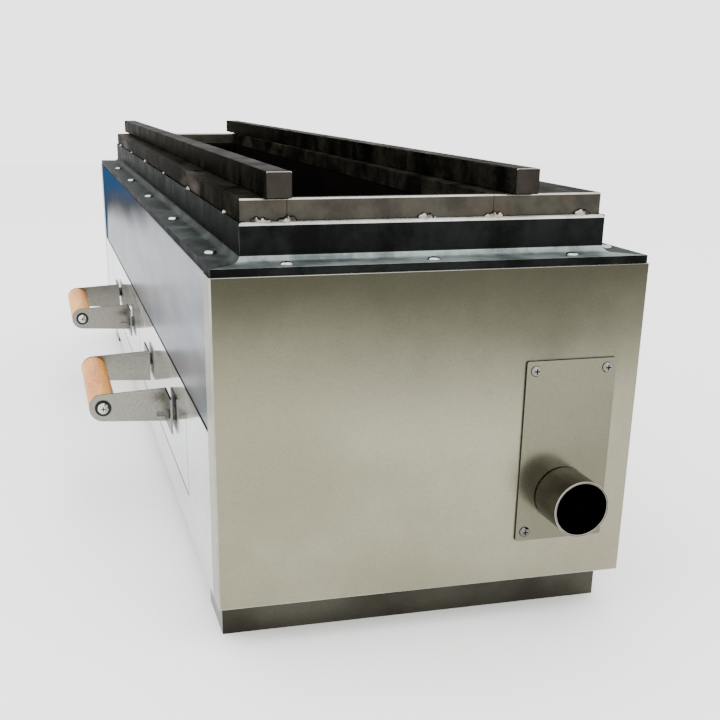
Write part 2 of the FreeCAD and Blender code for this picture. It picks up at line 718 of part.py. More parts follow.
def make_liner():
    """A steel pan without a bottom, whose inner ledge carries bricks and grate."""
    body = new_body("liner_body")
    pad(body, "liner_block", "XY", "ledge_bottom", "rail_bottom",
        corners("frame_far", "frame_near", "frame_front", "liner_back"))
    pocket(body, "liner_hollow", "XY", "ledge_top", "rail_bottom", corners(
        "frame_far + liner_gauge", "frame_near - liner_gauge",
        "frame_front + liner_gauge", "liner_back - liner_gauge"))
    reach = "liner_gauge + seat_gap + brick_thickness + ledge_reach"
    pocket(body, "liner_mouth", "XY", "ledge_bottom", "ledge_top", corners(
        f"frame_far + {reach}", f"frame_near - ({reach})",
        f"frame_front + {reach}", f"liner_back - ({reach})"))
    keep(body, "fire_liner")


def make_bricks():
    z = ("ledge_top", "brick_top")
    count = int(sizes.brick_count)
    pitch = f"(brick_near - brick_far + seat_gap) / {count}"
    for label, y in (("bricks_front", ("brick_front", "brick_face")),
                     ("bricks_back", ("back_brick_face", "brick_back"))):
        row = []
        for i in range(count):
            low = f"brick_far + {i} * {pitch}"
            row.append(block(f"{label}_{i}", (low, f"{low} + {pitch} - seat_gap"), y, z))
        keep(group(label + "_row", row), label)
    y = ("brick_face + seat_gap", "back_brick_face - seat_gap")
    near = block("brick_end_near", ("brick_near - brick_thickness", "brick_near"), y, z)
    far = block("brick_end_far", ("brick_far", "brick_far + brick_thickness"), y, z)
    keep(group("brick_ends", [near, far]), "bricks_ends")


def make_grate(number):
    """One cast section with two rows of slots, lying on the liner's ledge."""
    label = f"grate_{number + 1}"
    count = int(sizes.grate_count)
    start = "brick_far + brick_thickness + seat_gap"
    pitch = f"(brick_near - brick_far - 2 * brick_thickness - seat_gap) / {count}"
    low = f"{start} + {number} * {pitch}"
    high = f"{low} + {pitch} - seat_gap"
    front, back = "brick_face + seat_gap", "back_brick_face - seat_gap"
    body = new_body(label + "_body")
    z = ("ledge_top", "ledge_top + grate_height")
    pad(body, label + "_plate", "XY", *z, corners(low, high, front, back))
    length = (places.brick_near - places.brick_far - 2 * sizes.brick_thickness) / count
    slots = int((length - 2 * sizes.grate_border) // sizes.slot_pitch)
    margin = f"({pitch} - seat_gap - {slots - 1} * slot_pitch - slot_width) / 2"
    rows = ((f"{front} + grate_border", f"{front} + grate_border + slot_length"),
            (f"{back} - grate_border - slot_length", f"{back} - grate_border"))
    for side, (y_low, y_high) in zip(("front", "back"), rows):
        left = f"{low} + {margin}"
        slot = pocket(body, f"{label}_slot_{side}", "XY", *z,
                      corners(left, f"{left} + slot_width", y_low, y_high))
        pattern = body.newObject("PartDesign::LinearPattern", f"{label}_slots_{side}")
        pattern.Originals = [slot]
        pattern.Direction = (slot.Profile[0], ["H_Axis"])
        pattern.Occurrences = slots
        pattern.setExpression("Length", bound(f"{slots - 1} * slot_pitch"))
        body.Tip = pattern
    return body


def make_grates():
    sections = [make_grate(number) for number in range(int(sizes.grate_count))]
    keep(group("grate_set", sections), "grate_sections")


# Drawers, their bays and runners

def drawer_span(number):
    """Far and near edge of a drawer front; drawer 0 is the one near the pipe end."""
    high = f"opening_near - drawer_gap - {number} * (front_width + drawer_gap)"
    return f"{high} - front_width", high


def make_bays():
    """Upright plates beside and between the drawers, standing on the floor plate."""
    y = ("front_y + sheet_gauge", "bay_back")
    inner = ("fold_back + drawer_gap", "bay_back")
    z = ("floor_top", "seam_z")
    foot = ("floor_top", "floor_top + bay_gauge")
    near = [block("bay_near_web", ("opening_near", "opening_near + bay_gauge"), y, z),
            block("bay_near_foot", ("opening_near", "opening_near + bay_flange"), y, foot)]
    far = [block("bay_far_web", ("opening_far - bay_gauge", "opening_far"), y, z),
           block("bay_far_foot", ("opening_far - bay_flange", "opening_far"), y, foot)]
    half = "bay_gauge / 2"
    divider = [block("divider_web", (f"middle_x - {half}", f"middle_x + {half}"), inner, z),
               block("divider_foot", (f"middle_x - bay_flange / 2", "middle_x + bay_flange / 2"), inner, foot)]
    keep(join("bay_near_folded", near), "bay_wall_near")
    keep(join("bay_far_folded", far), "bay_wall_far")
    keep(join("divider_folded", divider), "bay_divider")


def make_runners():
    """Angles welded to the bay plates, on which the ash pans slide."""
    top = "pan_bottom - slide_gap"
    y = ("fold_back + drawer_gap", "bay_back")
    walls = (("opening_near", -1), ("middle_x + bay_gauge / 2", 1),
             ("middle_x - bay_gauge / 2", -1), ("opening_far", 1))
    runners = []
    for i, (wall, sign) in enumerate(walls):
        def span(reach):
            tip = f"{wall} + {sign} * {reach}"
            return (wall, tip) if sign > 0 else (tip, wall)
        flat = block(f"runner_{i}_flat", span("runner_width"), y, (f"{top} - runner_gauge", top))
        web = block(f"runner_{i}_web", span("runner_gauge"), y, (f"{top} - runner_gauge", f"{top} + runner_width"))
        runners.append(join(f"runner_{i}", [flat, web]))
    keep(group("runner_set", runners), "drawer_runners")


def stud_places(number):
    """X of the two studs of one handle, far strap first."""
    low, high = drawer_span(number)
    middle = f"(({low}) + ({high})) / 2 + handle_shift"
    offset = "strap_spacing / 2 + strap_foot - stud_edge"
    return f"{middle} - ({offset})", f"{middle} + {offset}"


def stud_holes(number, name):
    """Holes for the handle studs, through the drawer front and the ash pan."""
    low, high = "front_y - sheet_gauge", "pan_front + pan_gauge + sheet_gauge"
    return [
        rod(f"{name}_hole_{i}", "y", "stud_radius + hole_clearance", low, high, (x, "grip_z"))
        for i, x in enumerate(stud_places(number))
    ]


def make_drawer(number, prefix):
    """A flush drawer front with folded edges, and the ash pan fixed behind it."""
    low, high = drawer_span(number)
    front = new_body(prefix + "_front_body")
    pad(front, prefix + "_front_block", "XZ", "front_y", "fold_back",
        corners(low, high, "front_bottom", "front_top"))
    pocket(front, prefix + "_front_hollow", "XZ", "front_y + sheet_gauge", "fold_back", corners(
        f"{low} + sheet_gauge", f"{high} - sheet_gauge",
        "front_bottom + sheet_gauge", "front_top - sheet_gauge"))
    keep(cut(prefix + "_front_cut", front, stud_holes(number, prefix + "_front")), prefix + "_drawer_front")

    pan = new_body(prefix + "_pan_body")
    left, right = f"{low} + pan_inset", f"{high} - pan_inset"
    pad(pan, prefix + "_pan_block", "XY", "pan_bottom", "pan_top",
        corners(left, right, "pan_front", "pan_back"))
    pocket(pan, prefix + "_pan_hollow", "XY", "pan_bottom + pan_gauge", "pan_top", corners(
        f"{left} + pan_gauge", f"{right} - pan_gauge", "pan_front + pan_gauge", "pan_back - pan_gauge"))
    keep(cut(prefix + "_pan_cut", pan, stud_holes(number, prefix + "_pan")), prefix + "_ash_pan")


def make_strap(number, prefix, side):
    """One handle strap: rounded at the grip, bent along the drawer at its foot."""
    label = f"{prefix}_handle_strap_{'near' if side > 0 else 'far'}"
    low, high = drawer_span(number)
    middle = f"(({low}) + ({high})) / 2 + handle_shift + {side} * strap_spacing / 2"
    inner, outer = f"{middle} - strap_gauge / 2", f"{middle} + strap_gauge / 2"
    body = new_body(label + "_body")
    root = "front_y - spacer_height"
    pad(body, label + "_web", "YZ", inner, outer, [
        (root, "grip_z - strap_root_height / 2"), (root, "grip_z + strap_root_height / 2"),
        ("grip_y", "grip_z + strap_end_radius"), ("grip_y", "grip_z - strap_end_radius")])
    foot = (inner, f"{middle} + strap_foot") if side > 0 else (f"{middle} - strap_foot", outer)
    pad(body, label + "_foot", "XZ", f"{root} - strap_gauge", root,
        corners(*foot, "grip_z - strap_root_height / 2", "grip_z + strap_root_height / 2"))
    tip = rod(label + "_tip", "x", "strap_end_radius", inner, outer, ("grip_y", "grip_z"))
    whole = join(label + "_whole", [body, tip])
    stud = stud_places(number)[1 if side > 0 else 0]
    stud_hole = rod(label + "_stud_hole", "y", "stud_radius + hole_clearance",
                    f"{root} - 2 * strap_gauge", f"{root} + strap_gauge", (stud, "grip_z"))
    screw_hole = rod(label + "_screw_hole", "x", "grip_screw_radius + hole_clearance",
                     f"{inner} - strap_gauge", f"{outer} + strap_gauge", ("grip_y", "grip_z"))
    keep(cut(label + "_cut", whole, [stud_hole, screw_hole]), label)


def make_handle(number, prefix):
    low, high = drawer_span(number)
    middle = f"(({low}) + ({high})) / 2 + handle_shift"
    half = "strap_spacing / 2"
    for side in (1, -1):
        make_strap(number, prefix, side)
    grip = rod(prefix + "_grip_rod", "x", "grip_radius",
               f"{middle} - ({half} - strap_gauge / 2)", f"{middle} + {half} - strap_gauge / 2",
               ("grip_y", "grip_z"))
    holes = []
    screws = []
    washers = []
    for side, end in ((1, "near"), (-1, "far")):
        face = f"{middle} + {side} * ({half} + strap_gauge / 2)"
        seat = f"{face} + {side} * grip_washer_height"

        def span(start, reach):
            tip = f"{start} + {side} * ({reach})"
            return (start, tip) if side > 0 else (tip, start)
        name = f"{prefix}_grip_{end}"
        spot = ("grip_y", "grip_z")
        bite = span(seat, "0 - grip_screw_length") if side < 0 else (f"{seat} - grip_screw_length", seat)
        if side < 0:
            bite = (seat, f"{seat} + grip_screw_length")
        shank = rod(name + "_shank", "x", "grip_screw_radius", *bite, spot)
        head = rod(name + "_head", "x", "grip_head_radius", *span(seat, "grip_head_height"), spot)
        whole = join(name + "_screw_whole", [shank, head])
        top = f"{seat} + {side} * grip_head_height"
        depth = (f"{top} - recess_depth", f"{top} + recess_depth")
        arm, reach = "recess_width / 2", "recess_span / 2"
        slots = [
            block(name + "_slot_a", depth, (f"grip_y - {arm}", f"grip_y + {arm}"),
                  (f"grip_z - {reach}", f"grip_z + {reach}")),
            block(name + "_slot_b", depth, (f"grip_y - {reach}", f"grip_y + {reach}"),
                  (f"grip_z - {arm}", f"grip_z + {arm}")),
        ]
        screws.append(cut(name + "_screw", whole, slots))
        ring = rod(name + "_ring", "x", "grip_washer_radius", *span(face, "grip_washer_height"), spot)
        bore = rod(name + "_ring_bore", "x", "grip_screw_radius + hole_clearance",
                   f"{face} - 2 * grip_washer_height", f"{face} + 2 * grip_washer_height", spot)
        washers.append(cut(name + "_washer", ring, [bore]))
        holes.append(rod(name + "_pilot", "x", "grip_screw_radius + hole_clearance",
                         f"{bite[0]} - hole_clearance", f"{bite[1]} + hole_clearance", spot))
    keep(cut(prefix + "_grip_cut", grip, holes), prefix + "_wooden_grip")
    keep(group(prefix + "_grip_screw_set", screws), prefix + "_grip_screws")
    keep(group(prefix + "_grip_washer_set", washers), prefix + "_grip_washers")


def make_handle_studs(number, prefix):
    """Studs through the drawer front, each with a spacer washer and a nut."""
    studs, spacers, nuts = [], [], []
    for i, x in enumerate(stud_places(number)):
        name = f"{prefix}_stud_{i}"
        spot = (x, "grip_z")
        inside = "pan_front + pan_gauge"
        shank = rod(name + "_shank", "y", "stud_radius", "front_y - stud_reach", inside, spot)
        head = rod(name + "_head", "y", "stud_head_radius", inside, f"{inside} + stud_head_height", spot)
        studs.append(join(name, [shank, head]))
        bore = rod(name + "_spacer_bore", "y", "stud_radius + hole_clearance",
                   "front_y - 2 * spacer_height", "front_y + spacer_height", spot)
        ring = rod(name + "_spacer_ring", "y", "spacer_radius", "front_y - spacer_height", "front_y", spot)
        spacers.append(cut(name + "_spacer", ring, [bore]))
        bore = rod(name + "_nut_bore", "y", "stud_radius + hole_clearance",
                   "foot_face_y - 2 * nut_height", "foot_face_y + nut_height", spot)
        hexagon = six_sided(name + "_nut_hex", "y", "nut_radius", "foot_face_y - nut_height", "foot_face_y", spot)
        nuts.append(cut(name + "_nut", hexagon, [bore]))
    keep(group(prefix + "_stud_set", studs), prefix + "_handle_studs")
    keep(group(prefix + "_spacer_set", spacers), prefix + "_handle_spacers")
    keep(group(prefix + "_nut_set", nuts), prefix + "_handle_nuts")


def make_ash_guide(label, sign):
    """A sheet from the liner's ledge down over the bay wall into the ash pan."""
    wall = "opening_near" if sign > 0 else "opening_far"
    liner = f"frame_near - 3 * liner_gauge" if sign > 0 else "frame_far + 3 * liner_gauge"
    rest = "seam_z + seat_gap"
    high = "ledge_bottom - seat_gap - guide_gauge"
    crest = f"{wall} + {sign} * 3 * bay_gauge"
    lip = f"{wall} - {sign} * (3 * bay_gauge + drawer_gap)"
    tip = f"{lip} - {sign} * 3 * bay_gauge"
    drop = f"{rest} - 3 * bay_gauge"
    lower = [(tip, drop), (lip, rest), (crest, rest), (liner, high)]
    upper = [(liner, f"{high} + guide_gauge"), (crest, f"{rest} + guide_gauge"),
             (lip, f"{rest} + guide_gauge"), (tip, f"{drop} + guide_gauge")]
    body = new_body(label + "_body")
    pad(body, label + "_sheet", "XZ", "frame_front + seat_gap", "liner_back", lower + upper)
    return body


def make_ash_guides():
    guides = [make_ash_guide("guide_near", 1), make_ash_guide("guide_far", -1)]
    keep(group("guide_set", guides), "ash_guides")


def make_ash_ridge():
    """A small roof over the divider that sheds ash into both pans."""
    rest = "seam_z + seat_gap"
    half, reach = "bay_gauge", "bay_flange / 2 + drawer_gap"
    drop = f"{rest} - 3 * bay_gauge"
    lower = [(f"middle_x - ({reach})", drop), (f"middle_x - {half}", rest),
             (f"middle_x + {half}", rest), (f"middle_x + {reach}", drop)]
    upper = [(f"middle_x + {reach}", f"{drop} + guide_gauge"), (f"middle_x + {half}", f"{rest} + guide_gauge"),
             (f"middle_x - {half}", f"{rest} + guide_gauge"), (f"middle_x - ({reach})", f"{drop} + guide_gauge")]
    body = new_body("ash_ridge_body")
    pad(body, "ash_ridge_sheet", "XZ", "frame_front + seat_gap", "liner_back", lower + upper)
    keep(body, "ash_ridge")


# Insulation and air supply

def make_insulation():
    x = ("frame_far", "frame_near")
    top = "case_top + angle_gauge - screw_length - seat_gap"
    front = block("insulation_front_board", x, ("front_y + 2 * sheet_gauge + seat_gap", "frame_front - seat_gap"),
                  ("seam_z + sheet_gauge", top))
    back = block("insulation_back_board", x, ("liner_back + seat_gap", "back_y - 2 * sheet_gauge - seat_gap"),
                 ("plenum_top", top))
    keep(front, "insulation_front")
    keep(back, "insulation_back")


def make_plenum():
    """A long sheet duct behind the drawers, with air holes above the pans."""
    near = "near_x - sheet_gauge - seat_gap"
    far = "frame_far"
    body = new_body("plenum_body")
    pad(body, "plenum_block", "YZ", far, near,
        corners("plenum_front", "plenum_back", "floor_top", "plenum_top"))
    pocket(body, "plenum_hollow", "YZ", f"{far} + sheet_gauge", near, corners(
        "plenum_front + sheet_gauge", "plenum_back - sheet_gauge",
        "floor_top + sheet_gauge", "plenum_top - sheet_gauge"))
    count = int(sizes.air_hole_count)
    holes = []
    for i in range(count):
        x = f"middle_x + ({i} - ({count} - 1) / 2) * air_hole_pitch"
        holes.append(rod(f"air_hole_{i}", "y", "air_hole_radius", "plenum_front - sheet_gauge",
                         "plenum_front + 2 * sheet_gauge", (x, "plenum_top - air_hole_drop")))
    keep(cut("plenum_cut", body, holes), "air_plenum")


def make_inlet():
    """Cover plate, gasket and pipe of the air inlet, with four screws."""
    gasket = new_body("gasket_body")
    inset = "gasket_inset"
    pad(gasket, "gasket_sheet", "YZ", "near_x", "plate_inner", corners(
        f"plate_front + {inset}", f"plate_back - {inset}", f"plate_low + {inset}", f"plate_high - {inset}"))
    pocket(gasket, "gasket_opening", "YZ", "near_x", "plate_inner", ACCESS)
    keep(cut("gasket_cut", gasket, plate_holes("gasket_hole", "near_x - gasket_gauge",
                                               "plate_inner + gasket_gauge")), "inlet_gasket")

    plate = new_body("plate_body")
    pad(plate, "plate_sheet", "YZ", "plate_inner", "plate_outer",
        corners("plate_front", "plate_back", "plate_low", "plate_high"))
    round_edges(plate, "plate_corners", "plate_corner", lambda edge: runs_along(edge, "x"))
    holes = plate_holes("plate_hole", "near_x", "plate_outer + plate_gauge")
    holes.append(rod("plate_bore", "x", "pipe_radius - pipe_gauge", "near_x", "plate_outer + plate_gauge",
                     ("pipe_y", "pipe_z")))
    keep(cut("plate_cut", plate, holes), "inlet_plate")

    spot = ("pipe_y", "pipe_z")
    start, end = "plate_outer", "near_x + pipe_out"
    outside = rod("pipe_outside", "x", "pipe_radius", start, end, spot)
    inside = rod("pipe_inside", "x", "pipe_radius - pipe_gauge", f"{start} - pipe_gauge", f"{end} + pipe_gauge", spot)
    keep(cut("pipe_cut", outside, [inside]), "air_pipe")

    screws = []
    for i, (y, z) in enumerate(plate_screw_places()):
        name = f"plate_screw_{i}"
        top = "plate_outer + screw_head_height"
        shank = rod(name + "_shank", "x", "screw_radius", "near_x - sheet_gauge", "plate_outer", (y, z))
        head = rod(name + "_head", "x", "plate_head_radius", "plate_outer", top, (y, z))
        whole = join(name + "_whole", [shank, head])
        depth = (f"{top} - recess_depth", f"{top} + recess_depth")
        arm, reach = "recess_width / 2", "recess_span / 2"
        slots = [
            block(name + "_slot_a", depth, (f"{y} - {arm}", f"{y} + {arm}"), (f"{z} - {reach}", f"{z} + {reach}")),
            block(name + "_slot_b", depth, (f"{y} - {reach}", f"{y} + {reach}"), (f"{z} - {arm}", f"{z} + {arm}")),
        ]
        screws.append(cut(name, whole, slots))
    keep(group("plate_screw_set", screws), "inlet_screws")


def check_and_write():
    """Stop on any failed object, then write one file per sub-part."""
    doc.recompute()
    for thing in doc.Objects:
        if "Invalid" in thing.State or "Error" in thing.State:
            raise RuntimeError(f"{thing.Name} failed: {thing.State}")
    for piece in PARTS:
        if piece.Shape.isNull() or not piece.Shape.isValid() or not piece.Shape.Solids:
            raise RuntimeError(f"{piece.Label} has no valid solid")
    os.makedirs("parts", exist_ok=True)
    for piece in PARTS:
        piece.Shape.exportStep(f"parts/{piece.Label}.step")
        print(f"{piece.Label}: {len(piece.Shape.Solids)} solids, {piece.Shape.Volume / 1000:.1f} cm3")


make_end_panels()
make_long_panels()
make_joint_straps()
make_floor()
make_foot("foot_near", 0)
make_foot("foot_far", 1)
make_foot_bolts()
for frame_side in ("front", "back", "near", "far"):
    make_frame_angle(frame_side)
make_frame_screws()
make_rail("rail_front", "rail_front_face", "fire_front")
make_rail("rail_back", "fire_back", "rail_back_face")
make_end_bar("end_bar_near", "frame_near - end_bar_gauge", "frame_near")
make_end_bar("end_bar_far", "frame_far", "frame_far + end_bar_gauge")
make_welds()
make_skewer_bar("skewer_bar_front", "front_bar_y", "front_bar_y")
make_skewer_bar("skewer_bar_back", "back_bar_y", "back_bar_y - back_bar_skew")
make_liner()
make_bricks()
make_grates()
make_bays()
make_runners()
for drawer, drawer_name in enumerate(("near", "far")):
    make_drawer(drawer, drawer_name)
    make_handle(drawer, drawer_name)
    make_handle_studs(drawer, drawer_name)
make_ash_guides()
make_ash_ridge()
make_insulation()
make_plenum()
make_inlet()
check_and_write()
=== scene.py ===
import json
import math
import bmesh
import bpy
from mathutils import Matrix, Vector, noise


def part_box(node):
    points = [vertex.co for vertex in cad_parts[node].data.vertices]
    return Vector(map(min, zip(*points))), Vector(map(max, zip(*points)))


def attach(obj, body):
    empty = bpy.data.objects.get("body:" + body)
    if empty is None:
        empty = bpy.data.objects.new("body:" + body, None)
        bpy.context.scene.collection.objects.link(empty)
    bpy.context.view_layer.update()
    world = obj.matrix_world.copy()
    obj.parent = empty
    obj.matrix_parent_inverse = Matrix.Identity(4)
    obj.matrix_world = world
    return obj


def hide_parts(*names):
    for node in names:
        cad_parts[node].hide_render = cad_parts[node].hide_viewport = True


# A long charcoal grill for skewers, dressed over its fixed frame. The pipe end faces
# +X, the drawers face -Y, and sizes are in metres.

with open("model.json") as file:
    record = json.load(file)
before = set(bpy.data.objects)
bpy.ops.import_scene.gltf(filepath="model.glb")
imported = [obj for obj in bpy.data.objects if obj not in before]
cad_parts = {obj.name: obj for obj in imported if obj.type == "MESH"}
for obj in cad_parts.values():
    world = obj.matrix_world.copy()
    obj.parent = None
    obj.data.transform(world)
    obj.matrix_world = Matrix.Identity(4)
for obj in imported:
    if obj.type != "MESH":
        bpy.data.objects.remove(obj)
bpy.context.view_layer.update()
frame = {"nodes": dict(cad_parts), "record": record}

BODY_OF = {
    node: body
    for body, nodes in frame["record"]["behaviour"]["bodies"].items()
    for node in nodes
}
SLOT_OF = {entry["node"]: entry["material_slot"] for entry in frame["record"]["subparts"]}
NEAR_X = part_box("end_panel_near")[1].x
FAR_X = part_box("end_panel_far")[0].x
LEG_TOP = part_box("frame_angle_near")[1].z
SEAM_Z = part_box("front_band")[0].z
MM = 0.001
LENGTHWAYS = Vector((1, 0, 0))
CROSSWAYS = Vector((0, 1, 0))
UP = Vector((0, 0, 1))

# How far an edge is rounded, by the way it was made.
FOLD = 1.3 * MM
FILED = 0.3 * MM
CUT = 0.4 * MM
DEBURRED = 0.6 * MM
MITRED = 1.2 * MM
GROUND = 2.6 * MM
ROLLED = 1.8 * MM
SAWN = 1.3 * MM
BRICK_ARRIS = 2.2 * MM


# Camera, light and floor

def place_camera():
    """The photograph's view, solved from its straight edges: the pipe end and the drawer side."""
    lens = bpy.data.cameras.new("camera")
    lens.lens = 54.49
    lens.sensor_width = 36
    lens.shift_x = 0.04696
    lens.shift_y = 0.18579
    camera = bpy.data.objects.new("camera", lens)
    bpy.context.scene.collection.objects.link(camera)
    forward = Vector((-0.9074, 0.2342, -0.3491)).normalized()
    side = forward.cross(Vector((-0.3396, 0.0812, 0.9371))).normalized()
    up = side.cross(forward)
    turn = Matrix((side, up, -forward)).transposed().to_4x4()
    camera.matrix_world = Matrix.Translation((1.6151, -0.2833, 0.4884)) @ turn
    bpy.context.scene.camera = camera


def colour(text):
    """An sRGB hex colour as the linear colour that a shader takes."""
    parts = [int(text[i:i + 2], 16) / 255 for i in (1, 3, 5)]
    return [c / 12.92 if c <= 0.04045 else ((c + 0.055) / 1.055) ** 2.4 for c in parts] + [1.0]


def softbox(name, place, aim, width, height, power):
    """A large rectangular light that looks at a point."""
    light = bpy.data.lights.new(name, "AREA")
    light.shape = "RECTANGLE"
    light.size = width
    light.size_y = height
    light.energy = power
    lamp = bpy.data.objects.new(name, light)
    bpy.context.scene.collection.objects.link(lamp)
    lamp.location = place
    lamp.rotation_euler = (Vector(aim) - Vector(place)).to_track_quat("-Z", "Y").to_euler()


def light_room():
    """A pale room with soft light from above, the drawer side and behind the camera."""
    world = bpy.data.worlds.new("pale_room")
    world.use_nodes = True
    world.node_tree.nodes["Background"].inputs["Color"].default_value = colour("#fbfbfc")
    world.node_tree.nodes["Background"].inputs["Strength"].default_value = 3.0
    bpy.context.scene.world = world
    softbox("overhead", (0.3, -0.4, 2.6), (0.1, 0, 0.2), 2.6, 2.0, 30)
    softbox("drawer_side", (0.2, -2.6, 1.5), (0, 0, 0.2), 2.4, 1.4, 22)
    softbox("pipe_side", (3.2, 0.9, 1.4), (0.6, 0, 0.2), 1.4, 1.4, 14)


def lay_floor():
    """Plain pale paper, rolled out under the grill."""
    shape = bmesh.new()
    bmesh.ops.create_grid(shape, x_segments=1, y_segments=1, size=6)
    floor = bpy.data.objects.new("floor", bpy.data.meshes.new("floor"))
    shape.to_mesh(floor.data)
    shape.free()
    bpy.context.scene.collection.objects.link(floor)
    floor.data.materials.append(matt_paper())


# Materials. A pattern's Scale is its features to the metre, so 1000 over it is their size in
# millimetres. Each size is the real one, or the finest that still shows where a comment says so.

SMOOTH = {"interpolation_type": "SMOOTHSTEP"}


def feed(tree, node, inputs):
    """Fill a node's inputs with values, other nodes' outputs, or nodes for their first output.

    An input is called by its name, with _ for a space, or by i and its number.
    """
    for name, value in inputs.items():
        key = int(name[1:]) if name[1:].isdigit() else name.replace("_", " ")
        if isinstance(value, bpy.types.Node):
            value = value.outputs[0]
        if isinstance(value, bpy.types.NodeSocket):
            tree.links.new(value, node.inputs[key])
        else:
            node.inputs[key].default_value = value


def add(tree, kind, settings=None, **inputs):
    """Add a shader node with its settings and links."""
    made = tree.nodes.new("ShaderNode" + kind)
    for name, value in (settings or {}).items():
        setattr(made, name, value)
    feed(tree, made, inputs)
    return made


def start_material(name):
    """A new material, its nodes and the Object coordinates that its patterns read."""
    material = bpy.data.materials.new(name)
    material.use_nodes = True
    return material, material.node_tree, add(material.node_tree, "TexCoord").outputs["Object"]


def set_shader(tree, **inputs):
    """Give the surface its colour, sheen and relief."""
    feed(tree, tree.nodes["Principled BSDF"], inputs)


def coat(tree, under, over, pattern, low, high, start=0.0, end=1.0):
    """Lay one colour over another by a pattern: `start` of it below `low`, `end` of it above `high`."""
    cover = add(
        tree, "MapRange", SMOOTH, Value=pattern, From_Min=low, From_Max=high, To_Min=start, To_Max=end,
    )
    under, over = [colour(shade) if isinstance(shade, str) else shade for shade in (under, over)]
    return add(tree, "Mix", {"data_type": "RGBA"}, i0=cover, i6=under, i7=over).outputs[2]


def matt_paper():
    """Uncoated paper: white, without gloss."""
    material, tree, place = start_material("matt_paper")
    # Its fibre is 0.05 mm, too fine to show, and is drawn as a 2.5 mm grain.
    grain = add(tree, "TexNoise", Vector=place, Scale=400.0, Detail=2.0)
    set_shader(
        tree, Base_Color=colour("#f6f6f5"), Roughness=0.75,
        Normal=add(tree, "Bump", Height=grain, Strength=0.05, Distance=0.0005),
    )
    return material


def satin_stainless(name, dark, light, grain, rough, top_tone=None):
    """Metal with a fine grain: blurred soft reflections and cloudy wipe marks.

    `grain` is the marks to the metre along each axis, and the last argument is the colour that it
    turns to towards the top.
    """
    material, tree, place = start_material(name)
    # Wipe marks are 200 mm across. A real grain is 0.05 to 0.2 mm, too fine to show, and is
    # drawn 0.7 mm and coarser.
    cloud = add(tree, "TexNoise", Vector=place, Scale=5.0, Detail=4.0, Roughness=0.55)
    drawn = add(tree, "Mapping", Vector=place, Scale=grain)
    speck = add(tree, "TexNoise", Vector=drawn, Scale=1.0, Detail=3.0, Roughness=0.7)
    base = coat(tree, dark, light, cloud, 0.35, 0.68)
    if top_tone:
        height = add(tree, "SeparateXYZ", Vector=place).outputs["Z"]
        drift = add(tree, "Math", {"operation": "MULTIPLY_ADD"}, i0=cloud, i1=0.14, i2=height)
        base = coat(tree, base, top_tone, drift, 0.26, 0.42, end=0.92)
    base = coat(tree, base, "#0e0e0d", speck, 0.35, 0.7, end=0.16)
    sheen = add(
        tree, "MapRange", SMOOTH, Value=speck, From_Min=0.25, From_Max=0.8,
        To_Min=rough - 0.04, To_Max=rough + 0.06,
    )
    set_shader(
        tree, Base_Color=base, Metallic=1.0, Roughness=sheen,
        Normal=add(tree, "Bump", Height=speck, Strength=0.05, Distance=0.0002),
    )
    return material


def polished_stainless(name, dark, light):
    """Mirror-polished stainless sheet: clear reflections that bend where the sheet isn't flat."""
    material, tree, place = start_material(name)
    # The sheet's waves are 333 mm long and 143 mm high, its polishing haze 111 by 25 mm.
    waved = add(tree, "Mapping", Vector=place, Scale=(3.0, 3.0, 7.0))
    wave = add(tree, "TexNoise", Vector=waved, Scale=1.0, Detail=1.0)
    wiped = add(tree, "Mapping", Vector=place, Scale=(9.0, 9.0, 40.0))
    haze = add(tree, "TexNoise", Vector=wiped, Scale=1.0, Detail=5.0)
    set_shader(
        tree, Base_Color=coat(tree, dark, light, haze, 0.35, 0.7), Metallic=1.0,
        Roughness=add(
            tree, "MapRange", SMOOTH, Value=haze, From_Min=0.3, From_Max=0.75, To_Min=0.08, To_Max=0.2,
        ),
        Normal=add(tree, "Bump", Height=wave, Strength=0.35, Distance=0.006),
    )
    return material


def tinted_band():
    """The band beside the fire: a blurred polish that heat has turned brown, then blue, at the far top."""
    material = polished_stainless("heat_tinted_stainless", "#7b7f84", "#93979b")
    tree = material.node_tree
    base = tree.nodes["Principled BSDF"].inputs["Base Color"].links[0].from_socket
    place = add(tree, "TexCoord").outputs["Object"]
    parts = add(tree, "SeparateXYZ", Vector=place)
    # `cool` falls towards the top, the far end and most of all the far corner. Its line wavers
    # over 667 mm of length and 125 mm of height.
    drawn = add(tree, "Mapping", Vector=place, Scale=(1.5, 4.0, 8.0))
    drift = add(tree, "TexNoise", Vector=drawn, Scale=1.0, Detail=2.0)
    cool = add(tree, "Math", {"operation": "MULTIPLY"}, i0=parts.outputs["X"], i1=0.1)
    cool = add(tree, "Math", {"operation": "SUBTRACT"}, i0=cool, i1=parts.outputs["Z"])
    cool = add(tree, "Math", {"operation": "MULTIPLY_ADD"}, i0=drift, i1=0.05, i2=cool)
    corner = add(
        tree, "MapRange", SMOOTH, Value=parts.outputs["X"], From_Min=-0.72, From_Max=-0.58,
        To_Min=-0.12, To_Max=0.0,
    )
    cool = add(tree, "Math", {"operation": "ADD"}, i0=cool, i1=corner)
    base = coat(tree, base, "#1c1815", cool, -0.32, -0.25, 0.9, 0.0)
    base = coat(tree, base, "#1a3049", cool, -0.35, -0.3, 1.0, 0.0)
    film = add(
        tree, "MapRange", SMOOTH, Value=cool, From_Min=-0.335, From_Max=-0.255, To_Min=1.0, To_Max=0.0,
    )
    set_shader(
        tree, Base_Color=base, Specular_Tint=colour("#b9bcc0"), Specular_IOR_Level=0.0,
        Metallic=add(tree, "MapRange", SMOOTH, Value=film, To_Min=1.0, To_Max=0.0),
        Roughness=add(tree, "MapRange", SMOOTH, Value=film, To_Min=0.27, To_Max=0.6),
    )
    return material


